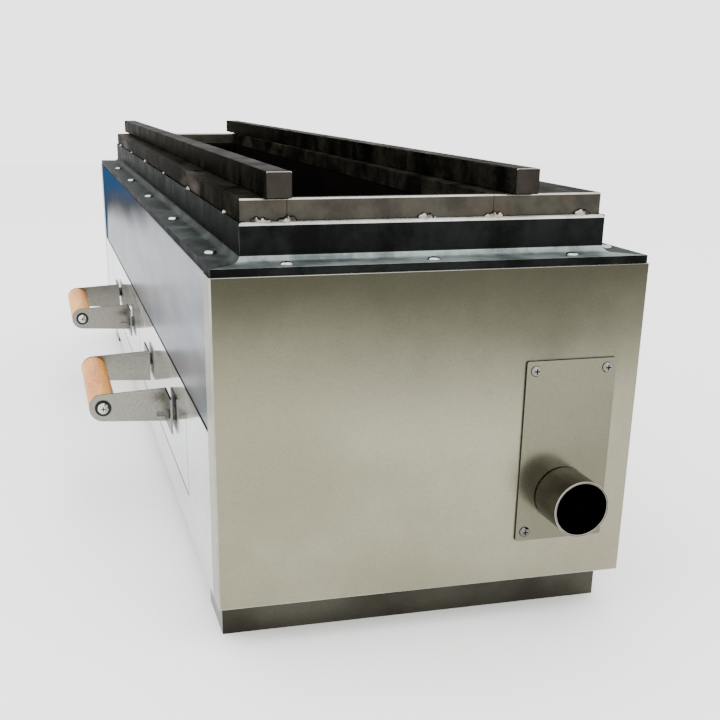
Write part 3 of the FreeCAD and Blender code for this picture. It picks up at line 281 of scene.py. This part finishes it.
def mill_steel(name, dark, light, rough, grazing, spot=None, metal=1.0, fleck=0):
    """Steel as it left the mill and the fire: uneven tone, fine pits and patches of scale.

    `grazing` is its tone seen along the surface, `spot` the colour of heat patches, and
    `fleck` how much of rubbed scale and ash lies on it.
    """
    material, tree, place = start_material(name)
    # Patches of scale are 45 mm across. Real pits are 0.3 mm, too fine to show, and are drawn
    # 2.4 mm apart.
    patch = add(tree, "TexNoise", Vector=place, Scale=22.0, Detail=7.0, Roughness=0.68)
    pit = add(tree, "TexNoise", Vector=place, Scale=420.0, Detail=3.0, Roughness=0.6)
    base = coat(tree, dark, light, patch, 0.36, 0.66)
    if spot:
        # Heat patches follow the grill: 167 mm long and 50 mm wide.
        drawn = add(tree, "Mapping", Vector=place, Scale=(6.0, 20.0, 20.0))
        stain = add(tree, "TexNoise", Vector=drawn, Scale=1.0, Detail=5.0)
        base = coat(tree, base, spot, stain, 0.54, 0.68, end=0.75)
        metal = add(
            tree, "MapRange", SMOOTH, Value=stain, From_Min=0.54, From_Max=0.68, To_Min=metal, To_Max=0.75,
        )
    if fleck:
        # Flecks lie in clusters of 8 mm, with finer grains between them.
        grit = add(tree, "TexNoise", Vector=place, Scale=130.0, Detail=6.0, Roughness=0.8)
        base = coat(tree, base, "#7d857e", grit, 0.5, 0.72, end=fleck)
    sheen = add(
        tree, "MapRange", SMOOTH, Value=patch, From_Min=0.3, From_Max=0.7,
        To_Min=rough - 0.07, To_Max=rough + 0.1,
    )
    set_shader(
        tree, Base_Color=base, Metallic=metal, Roughness=sheen, Specular_Tint=colour(grazing),
        Specular_IOR_Level=0.05, Normal=add(tree, "Bump", Height=pit, Strength=0.25, Distance=0.0003),
    )
    return material


def weld_steel():
    """Bare weld metal: bright ripples, with a brown heat tint between them."""
    material, tree, place = start_material("bare_weld_metal")
    # The tint changes over 11 mm, about the length of a lump.
    tint = add(tree, "TexNoise", Vector=place, Scale=90.0, Detail=3.0)
    set_shader(
        tree, Base_Color=coat(tree, "#85817a", "#2d2925", tint, 0.42, 0.62), Metallic=1.0, Roughness=0.24,
    )
    return material


def turned_wood():
    """Oiled beech turned on a lathe: light orange brown, with darker pores drawn out along the grip."""
    material, tree, place = start_material("turned_beech")
    # Growth rings are 17 mm bands, 143 mm long. Real pores are 0.1 mm wide, too fine to show,
    # and are drawn 1.1 mm wide and 11 mm long.
    sliced = add(tree, "Mapping", Vector=place, Scale=(7.0, 60.0, 60.0))
    ring = add(tree, "TexNoise", Vector=sliced, Scale=1.0, Detail=3.0)
    drawn = add(tree, "Mapping", Vector=place, Scale=(90.0, 900.0, 900.0))
    pore = add(tree, "TexNoise", Vector=drawn, Scale=1.0, Detail=2.0)
    base = coat(tree, "#b0640c", "#c98a1c", ring, 0.35, 0.65)
    base = coat(tree, base, "#5f3a10", pore, 0.52, 0.7, end=0.6)
    set_shader(
        tree, Base_Color=base, IOR=1.5, Specular_IOR_Level=0.25,
        Roughness=add(
            tree, "MapRange", SMOOTH, Value=pore, From_Min=0.4, From_Max=0.7, To_Min=0.42, To_Max=0.62,
        ),
        Normal=add(tree, "Bump", Height=pore, Strength=0.3, Distance=0.0004),
    )
    return material


def fired_clay():
    """Fire brick: dry, sandy and buff, with coarse grit, and near black towards the top."""
    material, tree, place = start_material("fire_brick")
    # Grit is 4 mm, and smoked clouds are 63 mm across.
    grit = add(tree, "TexNoise", Vector=place, Scale=260.0, Detail=5.0, Roughness=0.7)
    cloud = add(tree, "TexNoise", Vector=place, Scale=16.0, Detail=4.0)
    height = add(tree, "SeparateXYZ", Vector=place).outputs["Z"]
    base = coat(tree, "#1d1813", "#2c241d", cloud, 0.35, 0.65)
    base = coat(tree, base, "#110e0b", grit, 0.55, 0.68, end=0.6)
    base = coat(tree, base, "#060505", height, 0.27, 0.33, end=0.95)
    set_shader(
        tree, Base_Color=base, Roughness=0.92, Specular_IOR_Level=0.0,
        Normal=add(tree, "Bump", Height=grit, Strength=0.6, Distance=0.001),
    )
    return material


def sand_cast_iron():
    """Sand-cast iron: dark, grainy and matt, dusted with pale ash."""
    material, tree, place = start_material("sand_cast_iron")
    # The mould's sand is 0.3 mm, too fine to show, and is drawn as 2 mm. Ash lies in 33 mm drifts.
    sand = add(tree, "TexNoise", Vector=place, Scale=500.0, Detail=3.0)
    ash = add(tree, "TexNoise", Vector=place, Scale=30.0, Detail=6.0, Roughness=0.7)
    set_shader(
        tree, Base_Color=coat(tree, "#2a2725", "#77716a", ash, 0.5, 0.72, end=0.5), Metallic=0.7,
        Roughness=0.7, Normal=add(tree, "Bump", Height=sand, Strength=0.5, Distance=0.0006),
    )
    return material


def pressed_fibre():
    """Pressed ceramic fibre: off-white, matt and slightly felted."""
    material, tree, place = start_material("ceramic_fibre_board")
    # Tufts of fibre are 3 mm.
    felt = add(tree, "TexNoise", Vector=place, Scale=350.0, Detail=4.0, Roughness=0.75)
    set_shader(
        tree, Base_Color=coat(tree, "#cfcbbf", "#e6e3da", felt, 0.35, 0.65), Roughness=0.95,
        Normal=add(tree, "Bump", Height=felt, Strength=0.4, Distance=0.0006),
    )
    return material


place_camera()
light_room()
lay_floor()

# Marks of the grain to the metre: 2 mm long and 0.7 mm apart, 83 mm long and 3 mm apart, 83 mm
# long and 7 mm apart, and dots of 2.5 mm.
BELT_GROUND = (500.0, 500.0, 1400.0)
ROLLED_GRAIN = (12.0, 300.0, 300.0)
DRAWN_GRAIN = (12.0, 150.0, 150.0)
PLATED_GRAIN = (400.0, 400.0, 400.0)

FINISH = {
    # Belt-ground sheet of the ends: warm grey and soft, darker and browner towards the top.
    "stainless_satin": satin_stainless(
        "satin_stainless", "#7c7a67", "#8b8976", BELT_GROUND, 0.34, "#2b2a20",
    ),
    # Buffed sheet of the front: a bright mirror.
    "stainless_polished": polished_stainless("mirror_polished_stainless", "#a9adb1", "#c9ccce"),
    # Sheet inside the case, as rolled: dull grey with lines along it.
    "stainless_inner": satin_stainless("mill_finish_stainless", "#5c5b55", "#6f6e66", ROLLED_GRAIN, 0.4),
    # Strip cut and bent for the handles: a tight grey sheen.
    "stainless_handle": satin_stainless(
        "cut_strip_stainless", "#75736a", "#87857c", (500.0, 500.0, 900.0), 0.26,
    ),
    # Zinc-plated screws: bright on the crown and dark round it.
    "zinc_fastener": satin_stainless("bright_zinc", "#363632", "#74736e", PLATED_GRAIN, 0.2),
    # Tube drawn through a die: light and dark in long bands.
    "pipe_steel": satin_stainless("drawn_stainless_tube", "#27241f", "#7b766b", DRAWN_GRAIN, 0.24),
    # Angles blackened by heat and fat: near black with a pale sheen along them.
    "black_steel": mill_steel("heat_blackened_steel", "#0b0c0b", "#181a19", 0.38, "#7b7e7c", metal=0.9),
    "weld_metal": weld_steel(),
    # Hot-rolled square bar: brown black, lightly rubbed.
    "bar_steel": mill_steel("hot_rolled_bar", "#1c1b18", "#33312b", 0.42, "#5c5952", fleck=0.12),
    "fire_brick": fired_clay(),
    "grate_iron": sand_cast_iron(),
    "fibre_board": pressed_fibre(),
    "grip_wood": turned_wood(),
}
HEAT_TINTED = tinted_band()

# Flat legs of the angles: weathered to a dull grey green, and on the end angles a lighter copy with painted
# light.
FLANGE_TOP = mill_steel("weathered_flange", "#1b1f1e", "#3e4542", 0.56, "#1c1f1e", metal=0.6, fleck=0.25)
LIT_END_FLANGE = mill_steel("painted_light_end_flange", "#4a5352", "#858e8d", 0.36, "#8d9492", metal=0.7, fleck=0.4)
# Upright legs of the long angles: black, with a dust of ash.
SIDE_LEG = mill_steel("ash_dusted_leg", "#0f1110", "#1c1f1d", 0.42, "#6b6e6c", metal=0.88, fleck=0.2)
# Folded sheet of the feet: dark from standing in the grill's shade.
SHADED_FOOT = satin_stainless("folded_foot_sheet", "#26251f", "#4b4941", (300.0, 300.0, 900.0), 0.3)
# The inlet's cover, of a smoother sheet than the end it stands on.
COVER_SHEET = satin_stainless("smooth_cover_sheet", "#5e5c4d", "#6b695a", BELT_GROUND, 0.22)
# The outside of a fold: a painted highlight, a thin pale line.
BEND_HIGHLIGHT = satin_stainless("painted_highlight_bend", "#8f8e86", "#a9a8a0", (60.0, 60.0, 60.0), 0.28)
# Cut edges of sheets, of the inlet's cover and of the straps: painted shade, a dark edge.
SHADED_EDGE = mill_steel("painted_shade_edge", "#151412", "#2b2a27", 0.42, "#3a3835")
# Cold-headed screws, tumbled bright.
BRIGHT_HEAD = satin_stainless("bright_screw_head", "#8f8f8c", "#c4c4c0", PLATED_GRAIN, 0.12)
# The handles' feet: painted shade, dark and dull.
SHADED_STRAP_FOOT = satin_stainless("painted_shade_strap_foot", "#3c3a35", "#5b5952", (300.0, 300.0, 300.0), 0.4)
# Washers in painted shade: a flat dark grey.
SHADED_WASHER = satin_stainless("painted_shade_washer", "#161615", "#2b2b29", PLATED_GRAIN, 0.3)
# Painted shade in seams, screw recesses and at the pipe's foot: a black line.
SEAM_SHADE = mill_steel("painted_seam_shade", "#050505", "#0b0b0a", 0.6, "#101010", metal=0.2)
# Corners that hands and skewers have rubbed bright, also a painted highlight.
WORN_HIGHLIGHT_EDGE = satin_stainless("edge_wear_and_painted_highlight", "#8d8880", "#b5b0a6", (90.0, 90.0, 90.0), 0.3)
# Rim of an angle's leg, ground round, and the end angles' edges: a painted highlight, a white line.
RIM_HIGHLIGHT = mill_steel("painted_highlight_rim", "#8d8d89", "#b9b8b2", 0.3, "#ffffff", metal=0.5)
# Sawn ends of the bars: a plain brown face.
SAW_CUT = mill_steel("saw_cut_face", "#1d1b18", "#2c2925", 0.42, "#777069")
# Rails and end bars: grey brown plate with brown heat patches.
TIER_STEEL = mill_steel("tier_plate", "#2d2b26", "#3f3d36", 0.42, "#11100f", "#463527")


# Pieces

def settle(shape, name, node, materials, smooth_below=35):
    """Make a finished shape the piece that stands for a node, in its finish and on its body."""
    bmesh.ops.dissolve_degenerate(shape, dist=0.002 * MM, edges=shape.edges)
    mesh = bpy.data.meshes.new(name)
    shape.to_mesh(mesh)
    shape.free()
    for material in materials:
        mesh.materials.append(material)
    mesh.shade_smooth()
    mesh.set_sharp_from_angle(angle=math.radians(smooth_below))
    piece = bpy.data.objects.new(name, mesh)
    bpy.context.scene.collection.objects.link(piece)
    level = piece.modifiers.new("even_shading", "WEIGHTED_NORMAL")
    level.keep_sharp = True
    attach(piece, BODY_OF[node])
    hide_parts(node)
    return piece


def joined_copy(node):
    """A node's shape with its loose triangles joined."""
    shape = bmesh.new()
    shape.from_mesh(frame["nodes"][node].data)
    bmesh.ops.remove_doubles(shape, verts=shape.verts, dist=0.01 * MM)
    return shape


def clean_copy(node):
    """A node's shape with whole flat faces in place of triangles."""
    shape = joined_copy(node)
    bmesh.ops.dissolve_limit(
        shape, angle_limit=math.radians(0.5), verts=shape.verts, edges=shape.edges,
        use_dissolve_boundaries=False, delimit=set(),
    )
    return shape


def crisp_edges(shape, least_angle=40):
    """Edges where two faces meet at more than an angle."""
    return [
        edge for edge in shape.edges
        if len(edge.link_faces) == 2 and edge.calc_face_angle(0) > math.radians(least_angle)
    ]


def ease(shape, edges, width, segments=2, material=-1):
    """Round a set of edges a little, as a file or a press brake leaves them."""
    bmesh.ops.bevel(
        shape, geom=edges, offset=width, offset_type="OFFSET", affect="EDGES", segments=segments,
        profile=0.5, material=material, clamp_overlap=True, loop_slide=True,
    )


def dress(node, width, finish=None):
    """A node's own shape with eased edges."""
    shape = clean_copy(node)
    ease(shape, crisp_edges(shape), width)
    settle(shape, node + "_dressed", node, [finish or FINISH[SLOT_OF[node]]])


def on_plane(edge, axis, value):
    """True for an edge that lies in a plane across an axis."""
    return all(abs(getattr(vert.co, axis) - value) < 0.05 * MM for vert in edge.verts)


def on_rim(edge, box, axes):
    """True for an edge that lies at either end of a box along one of the axes."""
    return any(on_plane(edge, axis, getattr(end, axis)) for axis in axes for end in box)


def dress_case():
    """Case sheets: small radii where they are folded, and clean cut edges elsewhere."""
    for node, face in (("end_panel_near", NEAR_X), ("end_panel_far", FAR_X)):
        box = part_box(node)
        shape = clean_copy(node)
        folds = [edge for edge in crisp_edges(shape)
                 if on_plane(edge, "x", face) and on_rim(edge, box, "yz")]
        # The folds take the painted highlight.
        ease(shape, folds, FOLD, 4, 1)
        settle(shape, node + "_dressed", node, [FINISH["stainless_satin"], BEND_HIGHLIGHT])
    for node in ("front_band", "front_lower_panel", "back_panel", "near_drawer_front", "far_drawer_front"):
        box = low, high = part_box(node)
        face = high.y if node == "back_panel" else low.y
        shape = clean_copy(node)
        folds = [edge for edge in crisp_edges(shape) if on_plane(edge, "y", face)]
        if node.endswith("drawer_front"):
            folds = [edge for edge in folds if on_rim(edge, box, "z") or edge.calc_length() > 50 * MM]
        else:
            folds = [edge for edge in folds if on_rim(edge, box, "z")]
        ease(shape, folds, FOLD, 4)
        # Faces at the seam between band and lower panel take painted shade.
        # The front sheets' cut ends take painted shade, a dark edge.
        for part in shape.faces:
            if abs(part.normal.z) > 0.1 and abs(part.calc_center_median().z - SEAM_Z) < 5 * MM:
                part.material_index = 1
            elif abs(part.normal.x) > 0.35 and node != "back_panel":
                part.material_index = 2
        finish = HEAT_TINTED if node == "front_band" else FINISH[SLOT_OF[node]]
        settle(shape, node + "_dressed", node, [finish, SEAM_SHADE, SHADED_EDGE])
    for node in ("foot_near", "foot_far"):
        dress(node, 0.5 * MM, SHADED_FOOT)
    shape = clean_copy("inlet_plate")
    ease(shape, crisp_edges(shape), DEBURRED)
    # The cover's edges take painted shade.
    for part in shape.faces:
        if abs(part.normal.x) < 0.3:
            part.material_index = 1
    settle(shape, "inlet_plate_dressed", "inlet_plate", [COVER_SHEET, SHADED_EDGE])


def dress_pipe():
    """The air pipe: a worn rim at its mouth, also a painted highlight, and painted shade at the plate."""
    shape = clean_copy("air_pipe")
    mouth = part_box("air_pipe")[1].x
    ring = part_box("inlet_plate")[1].x + 1.6 * MM
    # The mouth's rim takes wear and a painted highlight.
    ease(shape, [edge for edge in crisp_edges(shape) if on_plane(edge, "x", mouth)], DEBURRED, 2, 1)
    bmesh.ops.bisect_plane(
        shape, geom=list(shape.verts) + list(shape.edges) + list(shape.faces), plane_co=(ring, 0, 0),
        plane_no=LENGTHWAYS, dist=0.01 * MM,
    )
    # The pipe's foot, up to the ring, takes painted shade.
    for part in shape.faces:
        if part.calc_center_median().x < ring:
            part.material_index = 2
    settle(shape, "air_pipe_dressed", "air_pipe", [FINISH["pipe_steel"], WORN_HIGHLIGHT_EDGE, SEAM_SHADE])


def dress_inside():
    """Pieces inside the case and under the grate, with filed edges."""
    for node in ("floor_plate", "bay_wall_near", "bay_wall_far", "bay_divider", "drawer_runners",
                 "ash_guides", "ash_ridge", "near_ash_pan", "far_ash_pan", "joint_straps"):
        dress(node, FILED)
    dress("fire_liner", DEBURRED)
    dress("grate_sections", 0.9 * MM)
    # The duct and its gasket are shut in, so they keep the frame's shape and take a finish only.
    for node in ("air_plenum", "inlet_gasket"):
        frame["nodes"][node].data.materials.clear()
        frame["nodes"][node].data.materials.append(FINISH[SLOT_OF[node]])
    for node in ("insulation_front", "insulation_back"):
        dress(node, 1.5 * MM)
    # The bricks' worn hollows are 11 mm across.
    hollows_per_metre, hollow_depth = 90, 0.7 * MM
    for node in ("bricks_front", "bricks_back", "bricks_ends"):
        shape = clean_copy(node)
        ease(shape, crisp_edges(shape), BRICK_ARRIS)
        sides = [edge for edge in shape.edges if edge.calc_length() > 20 * MM]
        bmesh.ops.subdivide_edges(shape, edges=sides, cuts=3, use_grid_fill=True)
        for vert in shape.verts:
            wear = noise.noise(vert.co * hollows_per_metre) * hollow_depth
            vert.co -= vert.normal * max(wear, 0)
        settle(shape, node + "_worn", node, [FINISH["fire_brick"]], 50)


def dress_top():
    """Black angles with painted highlights, folded rails with edges worn and painted as highlights, and
    sawn bars.
    """
    for node in ("frame_angle_front", "frame_angle_back", "frame_angle_near", "frame_angle_far"):
        shape = clean_copy(node)
        runs_x = node.endswith(("front", "back"))
        # On the end angles, the leg's rim, the eased edges and the leg's top take the painted highlight.
        if not runs_x:
            leg_face = max(abs(vert.co.x) for vert in shape.verts if vert.co.z > LEG_TOP - 0.1 * MM)
            leg_face = math.copysign(leg_face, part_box(node)[0].x)
            rim = [edge for edge in crisp_edges(shape)
                   if on_plane(edge, "z", LEG_TOP) and on_plane(edge, "x", leg_face)]
            ease(shape, rim, GROUND, 3, 1)
        ease(shape, crisp_edges(shape), MITRED, 2, -1 if runs_x else 1)
        for face in shape.faces:
            height = face.calc_center_median().z
            if face.normal.z > 0.9 and height > LEG_TOP - MM:
                face.material_index = 0 if runs_x else 1
            elif face.normal.z > 0.2 and height < LEG_TOP - 20 * MM and face.material_index == 0:
                face.material_index = 2
        # The end angles' flanges take the lighter copy with painted light.
        body, flange = (SIDE_LEG, FLANGE_TOP) if runs_x else (FINISH["black_steel"], LIT_END_FLANGE)
        settle(shape, node + "_dressed", node, [body, RIM_HIGHLIGHT, flange])
    for node in ("rail_front", "rail_back", "end_bar_near", "end_bar_far"):
        shape = clean_copy(node)
        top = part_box(node)[1].z
        rims = [edge for edge in crisp_edges(shape) if on_plane(edge, "z", top)]
        ends = [edge for edge in rims if abs(edge.verts[0].co.x - edge.verts[1].co.x) < MM]
        # The rails' top end edges take wear and a painted highlight.
        ease(shape, ends, 1.4 * MM, 3, 1)
        ease(shape, crisp_edges(shape), DEBURRED)
        settle(shape, node + "_dressed", node, [TIER_STEEL, WORN_HIGHLIGHT_EDGE])
    for node in ("skewer_bar_front", "skewer_bar_back"):
        shape = clean_copy(node)
        ease(shape, [edge for edge in crisp_edges(shape) if edge.calc_length() > 100 * MM], ROLLED, 3)
        rim = [edge for edge in crisp_edges(shape, 60) if edge.calc_length() < 100 * MM]
        ease(shape, rim, SAWN, 2, 2)
        # Upward bevels of the bar ends keep wear and a painted highlight, and the rest take the saw cut.
        for face in shape.faces:
            if abs(face.normal.x) > 0.9 or (face.material_index == 2 and face.normal.z < 0.2):
                face.material_index = 1
        settle(shape, node + "_sawn", node, [FINISH["bar_steel"], SAW_CUT, WORN_HIGHLIGHT_EDGE])


def islands(node):
    """The box of each separate solid in a node, in the order in which its shape lists them."""
    shape = joined_copy(node)
    seen = set()
    found = []
    for first in shape.verts:
        if first in seen:
            continue
        seen.add(first)
        queue = [first]
        low, high = first.co.copy(), first.co.copy()
        while queue:
            vert = queue.pop()
            low = Vector(map(min, low, vert.co))
            high = Vector(map(max, high, vert.co))
            for edge in vert.link_edges:
                other = edge.other_vert(vert)
                if other not in seen:
                    seen.add(other)
                    queue.append(other)
        found.append((low, high))
    shape.free()
    return found


def weld_bead(shape, centre, along, outward, length, girth, seed):
    """One short run of weld: a few overlapping lumps lying in a corner, not quite straight."""
    across = along.cross(outward)
    made = bmesh.ops.create_icosphere(shape, subdivisions=4, radius=1.0)["verts"]
    for vert in made:
        run, out, side = vert.co
        ripple = 0.16 * math.cos(run * 9 + seed)
        swell = 0.22 * noise.noise(Vector((run * 2.2, seed * 3.1, 0)))
        thick = girth * (1 + ripple + swell)
        bow = 0.9 * MM * math.sin(run * 2.4 + seed)
        reach = outward * (out * thick + bow) + across * (side * 1.3 * thick)
        vert.co = centre + along * (run * length / 2) + reach


def lay_welds():
    """The welds between the angles and the rails, one run over each bead of the frame."""
    shape = bmesh.new()
    middle_y = (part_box("frame_welds")[0].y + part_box("frame_welds")[1].y) / 2
    for number, (low, high) in enumerate(islands("frame_welds")):
        middle = (low + high) / 2
        if high.x - low.x > high.y - low.y:
            along, girth = LENGTHWAYS, 1.6 * MM
            away = CROSSWAYS * math.copysign(1, middle.y - middle_y)
        else:
            along, girth = CROSSWAYS, 3.6 * MM
            away = LENGTHWAYS * math.copysign(1, middle.x)
        outward = (away + UP).normalized()
        corner = Vector((middle.x, middle.y, low.z)) - away * 1.2 * MM
        length = max(high.x - low.x, high.y - low.y)
        weld_bead(shape, corner + outward * 0.3 * MM, along, outward, length, girth, 1.37 * number)
    settle(shape, "frame_weld_beads", "frame_welds", [FINISH["weld_metal"]], 80)


def faced(axis):
    """The turn that takes up to an axis."""
    return UP.rotation_difference(axis).to_matrix().to_4x4()


def turned(shape, profile, place, axis):
    """Spin a profile of (radius, height) points about an axis through a place."""
    line = [shape.verts.new((radius, 0, height)) for radius, height in profile]
    edges = [shape.edges.new(pair) for pair in zip(line, line[1:])]
    made = bmesh.ops.spin(
        shape, geom=line + edges, cent=(0, 0, 0), axis=(0, 0, 1), angle=math.tau, steps=28,
        use_merge=True, use_duplicate=False,
    )
    verts = set(line) | {item for item in made["geom_last"] if isinstance(item, bmesh.types.BMVert)}
    for face in shape.faces:
        if not face.tag:
            verts.update(face.verts)
            face.tag = True
    bmesh.ops.transform(shape, matrix=Matrix.Translation(place) @ faced(axis), verts=list(verts))


# A truss head from its crown to its underside, in parts of its radius and height.
TRUSS_HEAD = ((0, 0), (0.45, -0.03), (0.78, -0.18), (0.94, -0.45), (1, -0.8), (0.98, -1))
SHANK_RADIUS = 2.5 * MM


def screw_heads(node, head_radius, head_height, finish, away_from=None):
    """Truss-head screws with a cross recess, one over each of a node's screws.

    They stand upright, or point along the grill away from an X where one is given.
    """
    heads, crosses = bmesh.new(), bmesh.new()
    for low, high in islands(node):
        top = (low + high) / 2
        if away_from is None:
            forward = UP
            top.z = high.z
            length = high.z - low.z
        else:
            forward = LENGTHWAYS * math.copysign(1, top.x - away_from)
            top.x = high.x if forward.x > 0 else low.x
            length = high.x - low.x
        profile = [(across * head_radius, down * head_height) for across, down in TRUSS_HEAD]
        profile += [(SHANK_RADIUS, -head_height), (SHANK_RADIUS, 0.6 * MM - length),
                    (0.7 * SHANK_RADIUS, -length), (0, -length)]
        turned(heads, profile, top, forward)
        for width, breadth in ((5.4 * MM, 1.2 * MM), (1.2 * MM, 5.4 * MM)):
            arm = Matrix.Translation(top) @ faced(forward) @ Matrix.Diagonal((width, breadth, 2.4 * MM, 1))
            bmesh.ops.create_cube(crosses, size=1.0, matrix=arm)
    bmesh.ops.remove_doubles(heads, verts=heads.verts, dist=0.001 * MM)
    bmesh.ops.recalc_face_normals(heads, faces=heads.faces)
    bmesh.ops.bevel(
        crosses, geom=list(crosses.edges), offset=0.1 * MM, offset_type="OFFSET", affect="EDGES",
        segments=1, profile=0.5, material=-1,
    )
    # The cross recess takes painted shade.
    for face in crosses.faces:
        face.material_index = 1
    cutter = bpy.data.objects.new(node + "_cutter", bpy.data.meshes.new(node + "_cutter"))
    crosses.to_mesh(cutter.data)
    crosses.free()
    for material in (finish, SEAM_SHADE):
        cutter.data.materials.append(material)
    bpy.context.scene.collection.objects.link(cutter)
    piece = settle(heads, node + "_turned", node, [finish, SEAM_SHADE], 40)
    carve = piece.modifiers.new("cross_recess", "BOOLEAN")
    carve.object = cutter
    carve.operation = "DIFFERENCE"
    carve.solver = "EXACT"
    carve.use_self = True
    piece.modifiers.move(1, 0)
    bpy.context.view_layer.update()
    finished = bpy.data.meshes.new_from_object(piece.evaluated_get(bpy.context.evaluated_depsgraph_get()))
    piece.modifiers.clear()
    piece.data = finished
    bpy.data.objects.remove(cutter)


def turn_grip(node, middle):
    """A turned wooden grip: straight sides, softened rims and a faint lathe waist at each end."""
    low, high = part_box(node)
    radius = (high.z - low.z) / 2
    half = (high.x - low.x) / 2
    bore, depth = 2.8 * MM, 25 * MM
    rim = [(bore, half), (radius - 2.4 * MM, half), (radius - 1.0 * MM, half - 0.7 * MM),
           (radius - 0.3 * MM, half - 2.2 * MM), (radius - 0.15 * MM, half - 20 * MM), (radius, half * 0.4)]
    profile = [(0, half - depth), (bore, half - depth), *rim]
    profile += [(r, -h) for r, h in reversed(profile)]
    shape = bmesh.new()
    turned(shape, profile, middle, LENGTHWAYS)
    bmesh.ops.remove_doubles(shape, verts=shape.verts, dist=0.001 * MM)
    bmesh.ops.recalc_face_normals(shape, faces=shape.faces)
    settle(shape, node.replace("wooden", "turned"), node, [FINISH["grip_wood"]], 50)


def dress_handles():
    """Both drawers' handles: bent straps on feet in painted shade, a turned grip between them and its
    fasteners.
    """
    for prefix in ("near", "far"):
        for side in ("near", "far"):
            node = f"{prefix}_handle_strap_{side}"
            shape = clean_copy(node)
            ease(shape, crisp_edges(shape), CUT)
            # The straps' cut edges take painted shade.
            for face in shape.faces:
                if abs(face.normal.x) < 0.7:
                    # The feet, lying flat on the drawer front, take painted shade.
                    face.material_index = 2 if abs(face.normal.y) > 0.95 else 1
            settle(shape, node + "_dressed", node, [FINISH["stainless_handle"], SHADED_EDGE, SHADED_STRAP_FOOT])
        low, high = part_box(prefix + "_wooden_grip")
        middle = (low + high) / 2
        turn_grip(prefix + "_wooden_grip", middle)
        screw_heads(prefix + "_grip_screws", 6.8 * MM, 4.0 * MM, BRIGHT_HEAD, middle.x)
        # The washers take painted shade.
        dress(prefix + "_grip_washers", FILED, SHADED_WASHER)
        for name in ("handle_studs", "handle_spacers", "handle_nuts"):
            dress(f"{prefix}_{name}", CUT)


dress_case()
dress_inside()
dress_top()
lay_welds()
dress_handles()
screw_heads("frame_screws", 6.0 * MM, 2.6 * MM, BRIGHT_HEAD)
screw_heads("inlet_screws", 5.2 * MM, 2.6 * MM, FINISH["zinc_fastener"], 0)
dress("foot_bolts", 0.5 * MM)
dress_pipe()
